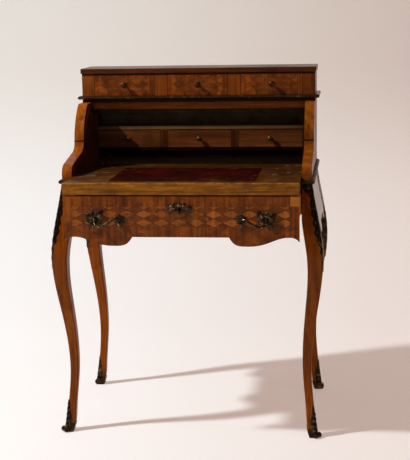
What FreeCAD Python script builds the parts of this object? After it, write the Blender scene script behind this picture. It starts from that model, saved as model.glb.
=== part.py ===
"""Lady's roll-top writing desk on cabriole legs, built as a parametric document.

The frame has +Z up and the desk faces -Y. The origin is on the floor, under the middle of the
desk as it stands open: slide and frieze drawer pulled out, roll pushed back.
"""
import FreeCAD
import Part
import Sketcher
import math
import os

from FreeCAD import Placement, Rotation, Vector

# Driving sizes in millimetres, angles in degrees
SIZES = (
    ("body_width", 680, "over the two side panels"),
    ("body_depth", 440, "front of the corner posts to the back"),
    ("side_thick", 27, "side panels, and corner posts at their tops"),
    ("writing_height", 724, "floor to the top of the writing slide"),
    ("board_clear", 1.5, "side clearance of the slide and the frieze drawer front"),
    ("run_clear", 0.3, "running clearance under anything that slides"),
    ("slide_thick", 31, "writing slide"),
    ("slide_depth", 380, "writing slide, front to back, lipping included"),
    ("slide_open", 118, "how far the slide stands out"),
    ("lipping_deep", 9, "front edge strip of the slide"),
    ("leather_width", 388, "writing leather"),
    ("leather_depth", 208, "writing leather, front to back"),
    ("leather_border", 35, "wood in front of the leather"),
    ("leather_thick", 1.6, "writing leather, let in flush"),
    ("dust_thick", 6, "dust board under the slide"),
    ("front_gap", 4, "slide to the frieze drawer front"),
    ("frieze_height", 108, "frieze drawer front at its middle"),
    ("frieze_thick", 20, "frieze drawer front"),
    ("frieze_open", 118, "how far the frieze drawer stands out"),
    ("lobe_drop", 24, "apron lobes below the middle of the apron"),
    ("corner_drop", 12, "apron ends below the arches"),
    ("arch_from_end", 28, "top of the end arch from the end of the front"),
    ("lobe_from_end", 133, "lowest point of the lobe from the end of the front"),
    ("cusp_from_end", 183, "where the lobe meets the straight middle"),
    ("box_side", 12, "frieze drawer sides and back"),
    ("box_height", 51, "frieze drawer sides"),
    ("box_depth", 350, "frieze drawer sides, front to back"),
    ("box_gap", 2, "frieze drawer sides in from the posts"),
    ("box_lift", 48, "frieze drawer sides above the apron"),
    ("box_bottom", 7, "frieze drawer bottom"),
    ("runner_wide", 28, "drawer runner ledge"),
    ("runner_thick", 12, "drawer runner ledge"),
    ("guide_clear", 2, "drawer side to its guide"),
    ("guide_rise", 24, "drawer guide above the ledge"),
    ("post_clear", 3, "runners and dust board behind the front posts"),
    ("apron_thick", 20, "side aprons at the top"),
    ("apron_inset", 2, "side aprons behind the face of the posts"),
    ("side_arch", 26, "side apron, top of the arch from its end"),
    ("side_lobe", 84, "side apron, lowest point of the lobe from its end"),
    ("side_cusp", 122, "side apron, end of the lobe from its end"),
    ("rail_drop", 124, "lower back rail, height"),
    ("back_rail_thick", 18, "lower back rail"),
    ("back_rail_inset", 3, "lower back rail in from the back"),
    ("leg_round", 4, "edges of the legs"),
    ("collar_drop", 24, "leg section under the ledge, below the top"),
    ("collar_out", 1.5, "swell of the leg there"),
    ("shoulder_drop", 115, "leg section at the apron, below the top"),
    ("shoulder_out", 17, "swell of the leg there"),
    ("knee_drop", 209, "leg section at the knee, below the top"),
    ("knee_out", 30, "swell of the leg there"),
    ("knee_width", 43.5, "leg width there"),
    ("calf_height", 344, "leg section below the knee"),
    ("calf_out", 12.5, "swell of the leg there"),
    ("calf_width", 32, "leg width there"),
    ("ankle_height", 170, "thinnest leg section"),
    ("ankle_in", 2, "leg drawn in there"),
    ("ankle_width", 23, "leg width there"),
    ("heel_height", 72, "leg section inside the shoe"),
    ("heel_out", 6, "swell of the leg there"),
    ("heel_width", 23, "leg width there"),
    ("toe_out", 16, "swell of the leg at the floor"),
    ("toe_width", 22, "leg width at the floor"),
    ("shoe_wall", 2, "bronze shoes"),
    ("shoe_sole", 3, "bronze shoes, under the leg"),
    ("shoe_height", 24, "bronze shoes"),
    ("shoe_leaf", 68, "pointed leaf above the shoe"),
    ("shoe_leaf_wide", 11, "half width of that leaf"),
    ("scroll_radius", 8, "rolled toe of the shoe"),
    ("mount_wall", 3, "bronze knee mounts"),
    ("mount_length", 205, "bronze knee mounts"),
    ("mount_wide_drop", 112, "where the knee mount is widest, below its top"),
    ("mount_half", 17, "half width of the knee mount"),
    ("mount_neck", 7, "half width of the knee mount at its top"),
    ("ledge_height", 11, "ledge moulding"),
    ("ledge_out", 8, "ledge moulding, projection"),
    ("ledge_down", 8, "ledge moulding below the side panels"),
    ("nose_set", 2, "side panel nose behind the front of the posts"),
    ("nose_radius", 30, "side panel nose"),
    ("nose_lift", 2, "centre of the nose above the bottom of the panel"),
    ("sweep_radius", 30, "hollow of the side panel above the nose"),
    ("sweep_angle", 82, "where the shoulder turns into the hollow"),
    ("shoulder_margin", 20, "side panel in front of the roll"),
    ("back_thick", 10, "back panels"),
    ("track_height", 58, "centre of the track above the slide"),
    ("track_from_back", 136, "centre of the track from the back"),
    ("roll_radius", 119, "outside of the slats"),
    ("roll_clear", 2, "roll to the gradin above it"),
    ("roll_lead", 3, "lift rail behind the top of the track when open"),
    ("roll_sweep", 114, "angle that the roll covers"),
    ("roll_travel", 121, "turn of the roll from open to shut"),
    ("slat_thick", 8, "slats"),
    ("slat_count", 14, "slats"),
    ("slat_gap", 0.8, "between slats"),
    ("slat_round", 1.6, "chamfer of the slats' outer edges"),
    ("canvas_thick", 1, "backing of the slats"),
    ("lift_deep", 22, "lift rail along the track"),
    ("lift_thick", 20, "lift rail across the track"),
    ("tongue", 7, "slat ends in the groove"),
    ("groove_clear", 1, "around the slat ends in the groove"),
    ("end_clear", 1, "lift rail and canvas to the side panels"),
    ("gradin_depth", 147, "front of the gradin to the back"),
    ("gradin_board", 18, "bottom of the gradin"),
    ("gradin_rise", 65, "height of the gradin's drawers and stiles"),
    ("gradin_side", 18, "sides of the gradin"),
    ("end_stile", 36, "end stiles of the gradin"),
    ("mid_stile", 37, "stiles between the gradin drawers"),
    ("stile_deep", 16, "stiles, front to back"),
    ("web_thick", 10, "partitions behind the stiles"),
    ("slab_thick", 14, "top slab"),
    ("slab_over", 3, "top slab beyond the gradin"),
    ("bead_height", 10, "base moulding of the gradin"),
    ("bead_out", 12, "base moulding of the gradin, projection"),
    ("drawer_clear", 1.2, "around the small drawers"),
    ("top_clear", 2.5, "above the small drawers"),
    ("small_front", 12, "gradin drawer fronts"),
    ("small_side", 7, "gradin drawer sides and backs"),
    ("small_bottom", 5, "gradin drawer bottoms"),
    ("small_depth", 118, "gradin drawers, front to back"),
    ("small_low", 12, "gradin drawer sides below the front's top"),
    ("nest_set", 13, "nest front behind the centre of the track"),
    ("nest_depth", 68, "nest, front to back"),
    ("nest_lift", 33, "nest above the slide"),
    ("nest_board", 10, "bottom of the nest"),
    ("nest_rise", 53, "height of the nest drawers' places"),
    ("nest_shelf", 9, "shelf above the nest drawers"),
    ("nest_upper", 43, "nest uprights above the shelf"),
    ("nest_upright", 10, "nest uprights"),
    ("nest_divider", 20, "dividers between the nest drawers"),
    ("nest_back", 4, "back of the nest"),
    ("nest_clear", 3, "nest to the roll"),
    ("upright_clear", 2, "nest uprights above the slide"),
    ("nest_front", 9, "nest drawer fronts"),
    ("nest_side", 6, "nest drawer sides and backs"),
    ("nest_bottom", 4, "nest drawer bottoms"),
    ("nest_box", 50, "nest drawer boxes, front to back"),
    ("nest_low", 9, "nest drawer sides below the front's top"),
    ("knob_radius", 7.5, "bronze knobs"),
    ("knob_reach", 16, "bronze knobs, projection"),
    ("knob_plate", 6.5, "bronze knob back plates"),
    ("brass_radius", 5, "brass knobs"),
    ("brass_reach", 11, "brass knobs, projection"),
    ("brass_plate", 4.2, "brass knob back plates"),
    ("plate_thick", 1.6, "knob back plates"),
    ("handle_from_end", 109.5, "middle of each handle from the end of the front"),
    ("handle_drop", 62, "middle of the handles below the top of the front"),
    ("handle_span", 82, "between the posts of a handle"),
    ("handle_tilt", 4, "outer end of a handle above its middle"),
    ("handle_sag", 11, "bow of the bar"),
    ("handle_bar", 3.6, "radius of the bar"),
    ("handle_post", 4.1, "radius of the posts behind the bar"),
    ("handle_ball", 4.6, "radius of the bar's rounded ends"),
    ("handle_reach", 26, "projection of the handles"),
    ("cartouche_wide", 38, "plate at the outer end of a handle"),
    ("cartouche_tall", 46, "plate at the outer end of a handle"),
    ("rosette_radius", 10, "plate at the inner end of a handle"),
    ("mount_plate", 4, "thickness of the plates on the front"),
    ("plaque_wide", 72, "escutcheon"),
    ("plaque_tall", 27, "escutcheon"),
    ("key_drop", 29, "keyhole below the top of the front"),
    ("key_radius", 2.6, "keyhole"),
    ("key_slot", 8, "keyhole slot"),
    ("lock_wide", 62, "lock case"),
    ("lock_tall", 42, "lock case"),
    ("lock_thick", 13, "lock case"),
    ("lock_top", 8, "lock case below the top of the front"),
)

# Places that follow from the sizes
PLACES = (
    ("half", "Dim.body_width / 2"),
    ("inner", "Dim.body_width / 2 - Dim.side_thick"),
    ("mid", "(Dim.body_depth + Dim.mount_wall - Dim.frieze_open - Dim.handle_reach) / 2"),
    ("front", "-mid"),
    ("back", "Dim.body_depth - mid"),
    ("post_back", "front + Dim.side_thick"),
    ("rear_post", "back - Dim.side_thick"),
    ("slide_low", "Dim.writing_height - Dim.slide_thick"),
    ("slide_y", "front - Dim.slide_open"),
    ("slide_half", "inner - Dim.board_clear"),
    ("dust_z", "slide_low - Dim.run_clear - Dim.dust_thick"),
    ("front_top", "slide_low - Dim.front_gap"),
    ("apron_z", "front_top - Dim.frieze_height"),
    ("lobe_z", "apron_z - Dim.lobe_drop"),
    ("frieze_y", "front - Dim.frieze_open"),
    ("box_y", "frieze_y + Dim.frieze_thick"),
    ("box_half", "inner - Dim.box_gap"),
    ("box_z", "apron_z + Dim.box_lift"),
    ("runner_z", "box_z - Dim.run_clear"),
    ("runner_y", "post_back + Dim.post_clear"),
    ("apron_in", "half - Dim.apron_inset - Dim.apron_thick"),
    ("guide_in", "box_half + Dim.guide_clear"),
    ("rail_y", "back - Dim.back_rail_inset - Dim.back_rail_thick"),
    ("track_y", "back - Dim.track_from_back"),
    ("track_z", "Dim.writing_height + Dim.track_height"),
    ("gradin_z", "track_z + Dim.roll_radius + Dim.roll_clear"),
    ("gradin_y", "back - Dim.gradin_depth"),
    ("stile_z", "gradin_z + Dim.gradin_board"),
    ("slab_z", "stile_z + Dim.gradin_rise"),
    ("stile_y", "gradin_y + Dim.stile_deep"),
    ("gradin_back", "back - Dim.back_thick"),
    ("gradin_in", "half - Dim.gradin_side"),
    ("stile_in", "half - Dim.end_stile"),
    ("bay", "(Dim.body_width - 2 * Dim.end_stile - 2 * Dim.mid_stile) / 3"),
    ("bay_pitch", "bay + Dim.mid_stile"),
    ("stile_a", "bay / 2"),
    ("stile_b", "bay / 2 + Dim.mid_stile"),
    ("web_a", "(bay + Dim.mid_stile - Dim.web_thick) / 2"),
    ("web_b", "(bay + Dim.mid_stile + Dim.web_thick) / 2"),
    ("nest_y", "track_y + Dim.nest_set"),
    ("nest_end", "nest_y + Dim.nest_depth"),
    ("nest_z", "Dim.writing_height + Dim.nest_lift"),
    ("nest_floor", "nest_z + Dim.nest_board"),
    ("shelf_z", "nest_floor + Dim.nest_rise"),
    ("nest_in", "inner - Dim.nest_upright"),
    ("cell", "(2 * nest_in - 2 * Dim.nest_divider) / 3"),
    ("cell_pitch", "cell + Dim.nest_divider"),
    ("ledge_z", "Dim.writing_height - Dim.ledge_down - Dim.ledge_height"),
    ("handle_x", "slide_half - Dim.handle_from_end"),
)

doc = FreeCAD.newDocument("writing_desk")
dim = doc.addObject("Spreadsheet::Sheet", "Dim")
for row, (name, value, note) in enumerate(SIZES, start=1):
    dim.set("A%d" % row, name)
    dim.set("B%d" % row, str(value))
    dim.setAlias("B%d" % row, name)
    dim.set("C%d" % row, note)
at = doc.addObject("Spreadsheet::Sheet", "At")
for row, (name, formula) in enumerate(PLACES, start=1):
    at.set("A%d" % row, name)
    at.setAlias("B%d" % row, name)
for row, (name, formula) in enumerate(PLACES, start=1):
    at.set("B%d" % row, "=" + formula)
doc.recompute()

PIECES = []


def size(name):
    """Number in the sheet of driving sizes."""
    return float(dim.get(name))


def spot(name):
    """Number in the sheet of places."""
    return float(at.get(name))


def keep(obj, label):
    """Name a finished piece and list it for export."""
    obj.Label = label
    PIECES.append(obj)
    return obj


def place(obj, x, y, z):
    """Bind an object's position to three expressions."""
    for axis, formula in zip("xyz", (x, y, z)):
        obj.setExpression("Placement.Base." + axis, formula)
    return obj


def board(name, lengths, corner):
    """Rectangular board with bound sizes and bound lowest corner."""
    obj = doc.addObject("Part::Box", name)
    for prop, formula in zip(("Length", "Width", "Height"), lengths):
        obj.setExpression(prop, formula)
    return place(obj, *corner)


def drum(name, radius, height, corner):
    """Cylinder whose axis points to the front of the desk."""
    obj = doc.addObject("Part::Cylinder", name)
    obj.setExpression("Radius", radius)
    obj.setExpression("Height", height)
    obj.Placement = Placement(Vector(), Rotation(Vector(1, 0, 0), 90))
    return place(obj, *corner)


def fused(name, members):
    """Union of bound objects."""
    obj = doc.addObject("Part::MultiFuse", name)
    obj.Shapes = members
    return obj


def group(name, members):
    """Several separate solids carried as one piece."""
    obj = doc.addObject("Part::Compound", name)
    obj.Links = members
    return obj


def formed(label, shape):
    """Piece whose curved form is built directly."""
    obj = doc.addObject("Part::Feature", label)
    obj.Shape = shape
    return keep(obj, label)


def pad(label, outline, height, base_z):
    """Body padded upwards from a plan outline whose corners are named places."""
    body = doc.addObject("PartDesign::Body", label + "_body")
    sketch = body.newObject("Sketcher::SketchObject", label + "_plan")
    plane = [f for f in body.Origin.OriginFeatures if f.Role == "XY_Plane"][0]
    sketch.AttachmentSupport = (plane, "")
    sketch.MapMode = "FlatFace"
    points = [Vector(sx * spot(x), spot(y), 0) for sx, x, y in outline]
    count = len(points)
    for i in range(count):
        sketch.addGeometry(Part.LineSegment(points[i], points[(i + 1) % count]), False)
    for i in range(count):
        sketch.addConstraint(Sketcher.Constraint("Coincident", i, 2, (i + 1) % count, 1))
    for i, (sx, x, y) in enumerate(outline):
        cx = sketch.addConstraint(Sketcher.Constraint("DistanceX", -1, 1, i, 1, points[i].x))
        sketch.setExpression("Constraints[%d]" % cx, "%d * At.%s" % (sx, x))
        cy = sketch.addConstraint(Sketcher.Constraint("DistanceY", -1, 1, i, 1, points[i].y))
        sketch.setExpression("Constraints[%d]" % cy, "At." + y)
    feature = body.newObject("PartDesign::Pad", label + "_pad")
    feature.Profile = sketch
    feature.setExpression("Length", height)
    body.setExpression("Placement.Base.z", base_z)
    return keep(body, label)


def boxed_drawer(prefix, centre, width, y, z, wall, floor_thick, depth, height):
    """Open box of four boards behind a small drawer front, as one piece of separate solids."""
    inside = "(%s - 2 * %s)" % (width, wall)
    left = "%s - %s / 2" % (centre, width)
    members = []
    members.append(board(prefix + "_side_a", (wall, depth, height), (left, y, z)))
    right = "%s + %s / 2 - %s" % (centre, width, wall)
    members.append(board(prefix + "_side_b", (wall, depth, height), (right, y, z)))
    rear = "%s + %s - %s" % (y, depth, wall)
    inner_x = "%s + %s" % (left, wall)
    members.append(board(prefix + "_end", (inside, wall, height), (inner_x, rear, z)))
    run = "%s - %s" % (depth, wall)
    members.append(board(prefix + "_bottom", (inside, run, floor_thick), (inner_x, y, z)))
    return keep(group(prefix + "_boards", members), prefix + "_box")


def knob(label, x, y, z, radius, reach, plate):
    """Turned knob: back plate, neck and ball."""
    neck = "(%s - %s)" % (reach, radius)
    members = [drum(label + "_plate", plate, "Dim.plate_thick", (x, y, z))]
    members.append(drum(label + "_neck", radius + " * 0.45", neck, (x, y, z)))
    ball = doc.addObject("Part::Sphere", label + "_ball")
    ball.setExpression("Radius", radius)
    place(ball, x, "%s - %s" % (y, neck), z)
    members.append(ball)
    return keep(fused(label + "_turned", members), label)


def line(a, b):
    """Straight edge."""
    return Part.LineSegment(a, b).toShape()


def arc(a, b, c):
    """Circular edge through three points."""
    return Part.Arc(a, b, c).toShape()


def curve(*poles):
    """Bezier edge."""
    bend = Part.BezierCurve()
    bend.setPoles(list(poles))
    return bend.toShape()


def mirrored(shape):
    """The same form on the left of the desk."""
    return shape.mirror(Vector(), Vector(1, 0, 0))


def pair(name, shape):
    """A right-hand form and its left-hand twin, as two pieces."""
    formed(name + "_right", shape)
    formed(name + "_left", mirrored(shape))


# Cabriole legs, with shoes and knee mounts that fit over them
def rounded(x0, x1, y0, y1, z, r):
    """Rectangle with rounded corners, level at one height."""
    k = r * (1 - math.sqrt(0.5))
    edges = [
        line(Vector(x0 + r, y0, z), Vector(x1 - r, y0, z)),
        arc(Vector(x1 - r, y0, z), Vector(x1 - k, y0 + k, z), Vector(x1, y0 + r, z)),
        line(Vector(x1, y0 + r, z), Vector(x1, y1 - r, z)),
        arc(Vector(x1, y1 - r, z), Vector(x1 - k, y1 - k, z), Vector(x1 - r, y1, z)),
        line(Vector(x1 - r, y1, z), Vector(x0 + r, y1, z)),
        arc(Vector(x0 + r, y1, z), Vector(x0 + k, y1 - k, z), Vector(x0, y1 - r, z)),
        line(Vector(x0, y1 - r, z), Vector(x0, y0 + r, z)),
        arc(Vector(x0, y0 + r, z), Vector(x0 + k, y0 + k, z), Vector(x0 + r, y0, z)),
    ]
    return Part.Wire(edges)


def leg_form(rear, grow):
    """Leg on the right of the desk, or the form that lies a little outside it."""
    top = size("writing_height")
    post = size("side_thick")
    stations = [
        (0, size("toe_out"), size("toe_width")),
        (size("heel_height"), size("heel_out"), size("heel_width")),
        (size("ankle_height"), -size("ankle_in"), size("ankle_width")),
        (size("calf_height"), size("calf_out"), size("calf_width")),
        (top - size("knee_drop"), size("knee_out"), size("knee_width")),
        (top - size("shoulder_drop"), size("shoulder_out"), post + size("shoulder_out")),
        (top - size("collar_drop"), size("collar_out"), post + size("collar_out")),
        (top, 0, post),
    ]
    wires = []
    for z, out, width in stations:
        x1 = spot("half") + out
        y0 = spot("front") - out
        if rear:
            y0 = spot("back") - width
        wires.append(rounded(x1 - width - grow, x1 + grow, y0 - grow, y0 + width + grow, z,
                             size("leg_round") + grow))
    return Part.makeLoft(wires, True, False)


def trimmed_leg(rear):
    """Leg cut flat where the aprons and boards meet it, and standing in its shoe."""
    leg = leg_form(rear, 0)
    far = size("body_width") + size("body_depth")
    tall = size("writing_height")
    corner_z = spot("apron_z") - size("corner_drop")
    leg = leg.cut(Part.makeBox(spot("inner"), 2 * far, tall, Vector(0, -far, corner_z)))
    y_cut = spot("post_back")
    if rear:
        y_cut = spot("rear_post") - far
    leg = leg.cut(Part.makeBox(far, far, tall, Vector(0, y_cut, corner_z)))
    return leg.cut(Part.makeBox(far, 2 * far, size("shoe_sole"), Vector(0, -far, 0)))


def outward(rear):
    """Point on the corner line of a leg, the way it faces and the way across that."""
    if rear:
        middle = spot("back") - size("ankle_width") / 2
        return Vector(spot("half"), middle, 0), Vector(1, 0, 0), Vector(0, 1, 0)
    slant = math.sqrt(0.5)
    return Vector(spot("half"), spot("front"), 0), Vector(slant, -slant, 0), Vector(slant, slant, 0)


def leaf_prism(rear, deep, edges_of):
    """Leaf outline carried straight through the outside of a leg."""
    base, out, across = outward(rear)
    start = base - out * deep

    def spot_at(s, z):
        return start + across * s + Vector(0, 0, z)

    face = Part.Face(Part.Wire(edges_of(spot_at)))
    return face.extrude(out * (deep + size("body_depth")))


def shoe_leaf_edges(spot_at):
    """Pointed leaf above the rim of a shoe."""
    half = size("shoe_leaf_wide")
    low = size("shoe_height") - 1
    tip = size("shoe_height") + size("shoe_leaf")
    belly = low + size("shoe_leaf") / 2
    return [
        line(spot_at(-half, low), spot_at(half, low)),
        curve(spot_at(half, low), spot_at(half, belly), spot_at(half / 4, belly), spot_at(0, tip)),
        curve(spot_at(0, tip), spot_at(-half / 4, belly), spot_at(-half, belly), spot_at(-half, low)),
    ]


def mount_edges(spot_at):
    """Long leaf down a knee, from a narrow neck under the ledge to a point."""
    neck = size("mount_neck")
    half = size("mount_half")
    top = spot("ledge_z")
    wide = top - size("mount_wide_drop")
    low = top - size("mount_length")
    upper = (top + wide) / 2
    lower = (wide + low) / 2
    return [
        line(spot_at(-neck, top), spot_at(neck, top)),
        curve(spot_at(neck, top), spot_at(neck, upper), spot_at(half, upper), spot_at(half, wide)),
        curve(spot_at(half, wide), spot_at(half, lower), spot_at(neck / 2, lower), spot_at(0, low)),
        curve(spot_at(0, low), spot_at(-neck / 2, lower), spot_at(-half, lower), spot_at(-half, wide)),
        curve(spot_at(-half, wide), spot_at(-half, upper), spot_at(-neck, upper), spot_at(-neck, top)),
    ]


def shoe(rear, leg):
    """Bronze cup round the foot, with a leaf above it and a rolled toe."""
    outer = leg_form(rear, size("shoe_wall"))
    far = size("body_width") + size("body_depth")
    cup = outer.common(Part.makeBox(far, 2 * far, size("shoe_height"), Vector(0, -far, 0)))
    leaf = outer.common(leaf_prism(rear, size("shoe_leaf_wide"), shoe_leaf_edges))
    base, out, across = outward(rear)
    r = size("scroll_radius")
    reach = size("toe_out")
    if not rear:
        reach = size("toe_out") * math.sqrt(2)
    long = size("toe_width") * 0.8
    centre = base + out * (reach + size("shoe_wall") - r / 2) - across * (long / 2) + Vector(0, 0, r)
    scroll = Part.makeCylinder(r, long, centre, across)
    return cup.fuse([leaf, scroll]).cut(leg).removeSplitter()


def knee_mount(rear, leg):
    """Bronze leaf that lies on the outside of a knee."""
    outer = leg_form(rear, size("mount_wall"))
    leaf = leaf_prism(rear, size("mount_half"), mount_edges)
    bay_long = spot("rear_post") - spot("post_back")
    bay = Part.makeBox(size("body_width"), bay_long, size("writing_height"), Vector(0, spot("post_back"), 0))
    sheet = outer.common(leaf).cut([leg, bay])
    return max(sheet.Solids, key=lambda solid: solid.Volume)


legs = []
shoes = []
mounts = []
for end, rear in (("front", False), ("back", True)):
    leg = trimmed_leg(rear)
    pair("leg_" + end, leg)
    legs.append(leg)
    toe = shoe(rear, leg)
    shoes += [toe, mirrored(toe)]
    knee = knee_mount(rear, leg)
    mounts += [knee, mirrored(knee)]
formed("leg_shoes", Part.makeCompound(shoes))
formed("knee_mounts", Part.makeCompound(mounts))


# Shaped aprons
def apron_face(half, top, arch, lobe, cusp, spot_at):
    """Upright face whose lower edge has an arch at each end, a lobe and a straight middle."""
    flat = spot("apron_z")
    low = spot("lobe_z")
    corner = flat - size("corner_drop")

    def lower_edge(sign):
        def p(from_end, z):
            return spot_at(sign * (half - from_end), z)
        return [
            curve(p(0, corner), p(arch * 0.3, flat), p(arch * 0.6, flat), p(arch, flat)),
            curve(p(arch, flat), p((2 * arch + lobe) / 3, flat), p((arch + lobe) / 2, low), p(lobe, low)),
            curve(p(lobe, low), p((lobe + cusp) / 2, low), p((lobe + 3 * cusp) / 4, low), p(cusp, flat)),
        ]

    edges = [line(spot_at(-half, top), spot_at(half, top))]
    edges += [line(spot_at(half, top), spot_at(half, corner))]
    edges += lower_edge(1)
    edges += [line(spot_at(half - cusp, flat), spot_at(cusp - half, flat))]
    edges += lower_edge(-1)
    edges += [line(spot_at(-half, corner), spot_at(-half, top))]
    return Part.Face(Part.Wire(Part.__sortEdges__(edges)))


def side_swell(mid, long):
    """Block between the right-hand legs whose outer face has the swell of the legs."""
    form = leg_form(True, -size("apron_inset"))
    level = size("ankle_width") / 2
    stretch = FreeCAD.Matrix()
    stretch.A22 = long / level
    stretch.A24 = mid - stretch.A22 * (spot("back") - level)
    return form.transformGeometry(stretch)


side_half = (spot("rear_post") - spot("post_back")) / 2
side_mid = (spot("rear_post") + spot("post_back")) / 2
apron = apron_face(side_half, size("writing_height"), size("side_arch"), size("side_lobe"), size("side_cusp"),
                   lambda s, z: Vector(spot("apron_in"), side_mid + s, z))
apron = apron.extrude(Vector(size("apron_thick") + size("apron_inset") + size("knee_out"), 0, 0))
pair("side_apron", apron.common(side_swell(side_mid, 2 * side_half)))

# Boards and runners inside the frieze
keep(board("dust_board", ("2 * At.apron_in", "At.rear_post - Dim.post_clear - At.runner_y", "Dim.dust_thick"),
           ("-At.apron_in", "At.runner_y", "At.dust_z")), "dust_board")
keep(board("back_rail", ("2 * At.inner", "Dim.back_rail_thick", "Dim.rail_drop"),
           ("-At.inner", "At.rail_y", "Dim.writing_height - Dim.rail_drop")), "back_rail")
runners = []
for hand, ledge_x, guide_x in (
        ("left", "-At.apron_in", "-At.apron_in"),
        ("right", "At.apron_in - Dim.runner_wide", "At.guide_in")):
    runner_long = "At.rear_post - Dim.post_clear - At.runner_y"
    ledge = board("runner_ledge_" + hand, ("Dim.runner_wide", runner_long, "Dim.runner_thick"),
                  (ledge_x, "At.runner_y", "At.runner_z - Dim.runner_thick"))
    guide = board("runner_guide_" + hand, ("At.apron_in - At.guide_in", runner_long, "Dim.guide_rise"),
                  (guide_x, "At.runner_y", "At.runner_z"))
    runners.append(fused("runner_joined_" + hand, [ledge, guide]))
keep(group("runner_pair", runners), "drawer_runners")


# Bronze mouldings
def nosing(start, out, z, height, reach):
    """Upright outline of a moulding with a rounded edge, at the start of its run."""
    flat = max(reach - height / 2, reach / 4)
    low = start + Vector(0, 0, z)
    high = low + Vector(0, 0, height)
    edges = [
        line(low, low + out * flat),
        arc(low + out * flat, low + out * reach + Vector(0, 0, height / 2), high + out * flat),
        line(high + out * flat, high),
        line(high, low),
    ]
    return Part.Wire(edges)


def run_of(points, out, z, height, reach):
    """Moulding mitred round the corners of its run."""
    level = [p + Vector(0, 0, z) for p in points]
    path = Part.Wire([line(a, b) for a, b in zip(level, level[1:])])
    return path.makePipeShell([nosing(points[0], out, z, height, reach)], True, False, 1)


ledge_run = [Vector(spot("inner"), spot("front"), 0), Vector(spot("half"), spot("front"), 0),
             Vector(spot("half"), spot("back"), 0)]
ledge_shape = run_of(ledge_run, Vector(0, -1, 0), spot("ledge_z"), size("ledge_height"), size("ledge_out"))
ledge_shape = ledge_shape.cut(legs)
formed("ledge_mouldings", Part.makeCompound([ledge_shape, mirrored(ledge_shape)]))
bead_run = [Vector(spot("half"), spot("back"), 0), Vector(spot("half"), spot("gradin_y"), 0),
            Vector(-spot("half"), spot("gradin_y"), 0), Vector(-spot("half"), spot("back"), 0)]
formed("gradin_moulding", run_of(bead_run, Vector(1, 0, 0), spot("stile_z") - size("bead_height"),
                                 size("bead_height"), size("bead_out")))


# Roll track: angles start at the top of the track and grow towards the front
def on_track(radius, angle, x=0.0):
    """Point at a radius and an angle about the centre of the track."""
    turn = math.radians(angle)
    return Vector(x, spot("track_y") - radius * math.sin(turn), spot("track_z") + radius * math.cos(turn))


def sector(r0, r1, a0, a1, x0, x1, bevel=0.0):
    """Part of a ring about the track, with its outer long edges bevelled if asked."""
    mid = (a0 + a1) / 2
    lean = math.degrees(bevel / r1)
    step = math.copysign(lean, a1 - a0)
    edges = [arc(on_track(r0, a0, x0), on_track(r0, mid, x0), on_track(r0, a1, x0))]
    edges.append(line(on_track(r0, a1, x0), on_track(r1 - bevel, a1, x0)))
    if bevel:
        edges.append(line(on_track(r1 - bevel, a1, x0), on_track(r1, a1 - step, x0)))
    edges.append(arc(on_track(r1, a1 - step, x0), on_track(r1, mid, x0), on_track(r1, a0 + step, x0)))
    if bevel:
        edges.append(line(on_track(r1, a0 + step, x0), on_track(r1 - bevel, a0, x0)))
    edges.append(line(on_track(r1 - bevel, a0, x0), on_track(r0, a0, x0)))
    return Part.Face(Part.Wire(edges)).extrude(Vector(x1 - x0, 0, 0))


roll_out = size("roll_radius")
slat_in = roll_out - size("slat_thick")
lead = -size("roll_lead")
tail = lead - size("roll_sweep")
lift_end = lead - math.degrees(size("lift_deep") / roll_out)
clear_x = spot("inner") - size("end_clear")
tongue_x = spot("inner") + size("tongue")
lift = sector(roll_out - size("lift_thick"), roll_out, lead, lift_end, -clear_x, clear_x)
lift = lift.fuse(sector(slat_in, roll_out, lead, lift_end, -tongue_x, tongue_x)).removeSplitter()
formed("roll_lift_rail", lift)
gap = math.degrees(size("slat_gap") / roll_out)
slat_count = int(size("slat_count"))
pitch = (lift_end - tail) / slat_count
slats = []
for i in range(slat_count):
    start = lift_end - i * pitch - gap
    slats.append(sector(slat_in, roll_out, start, start - pitch + gap, -tongue_x, tongue_x, size("slat_round")))
formed("roll_slats", Part.makeCompound(slats))
formed("roll_canvas", sector(slat_in - size("canvas_thick"), slat_in, lift_end, tail, -clear_x, clear_x))


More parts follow.
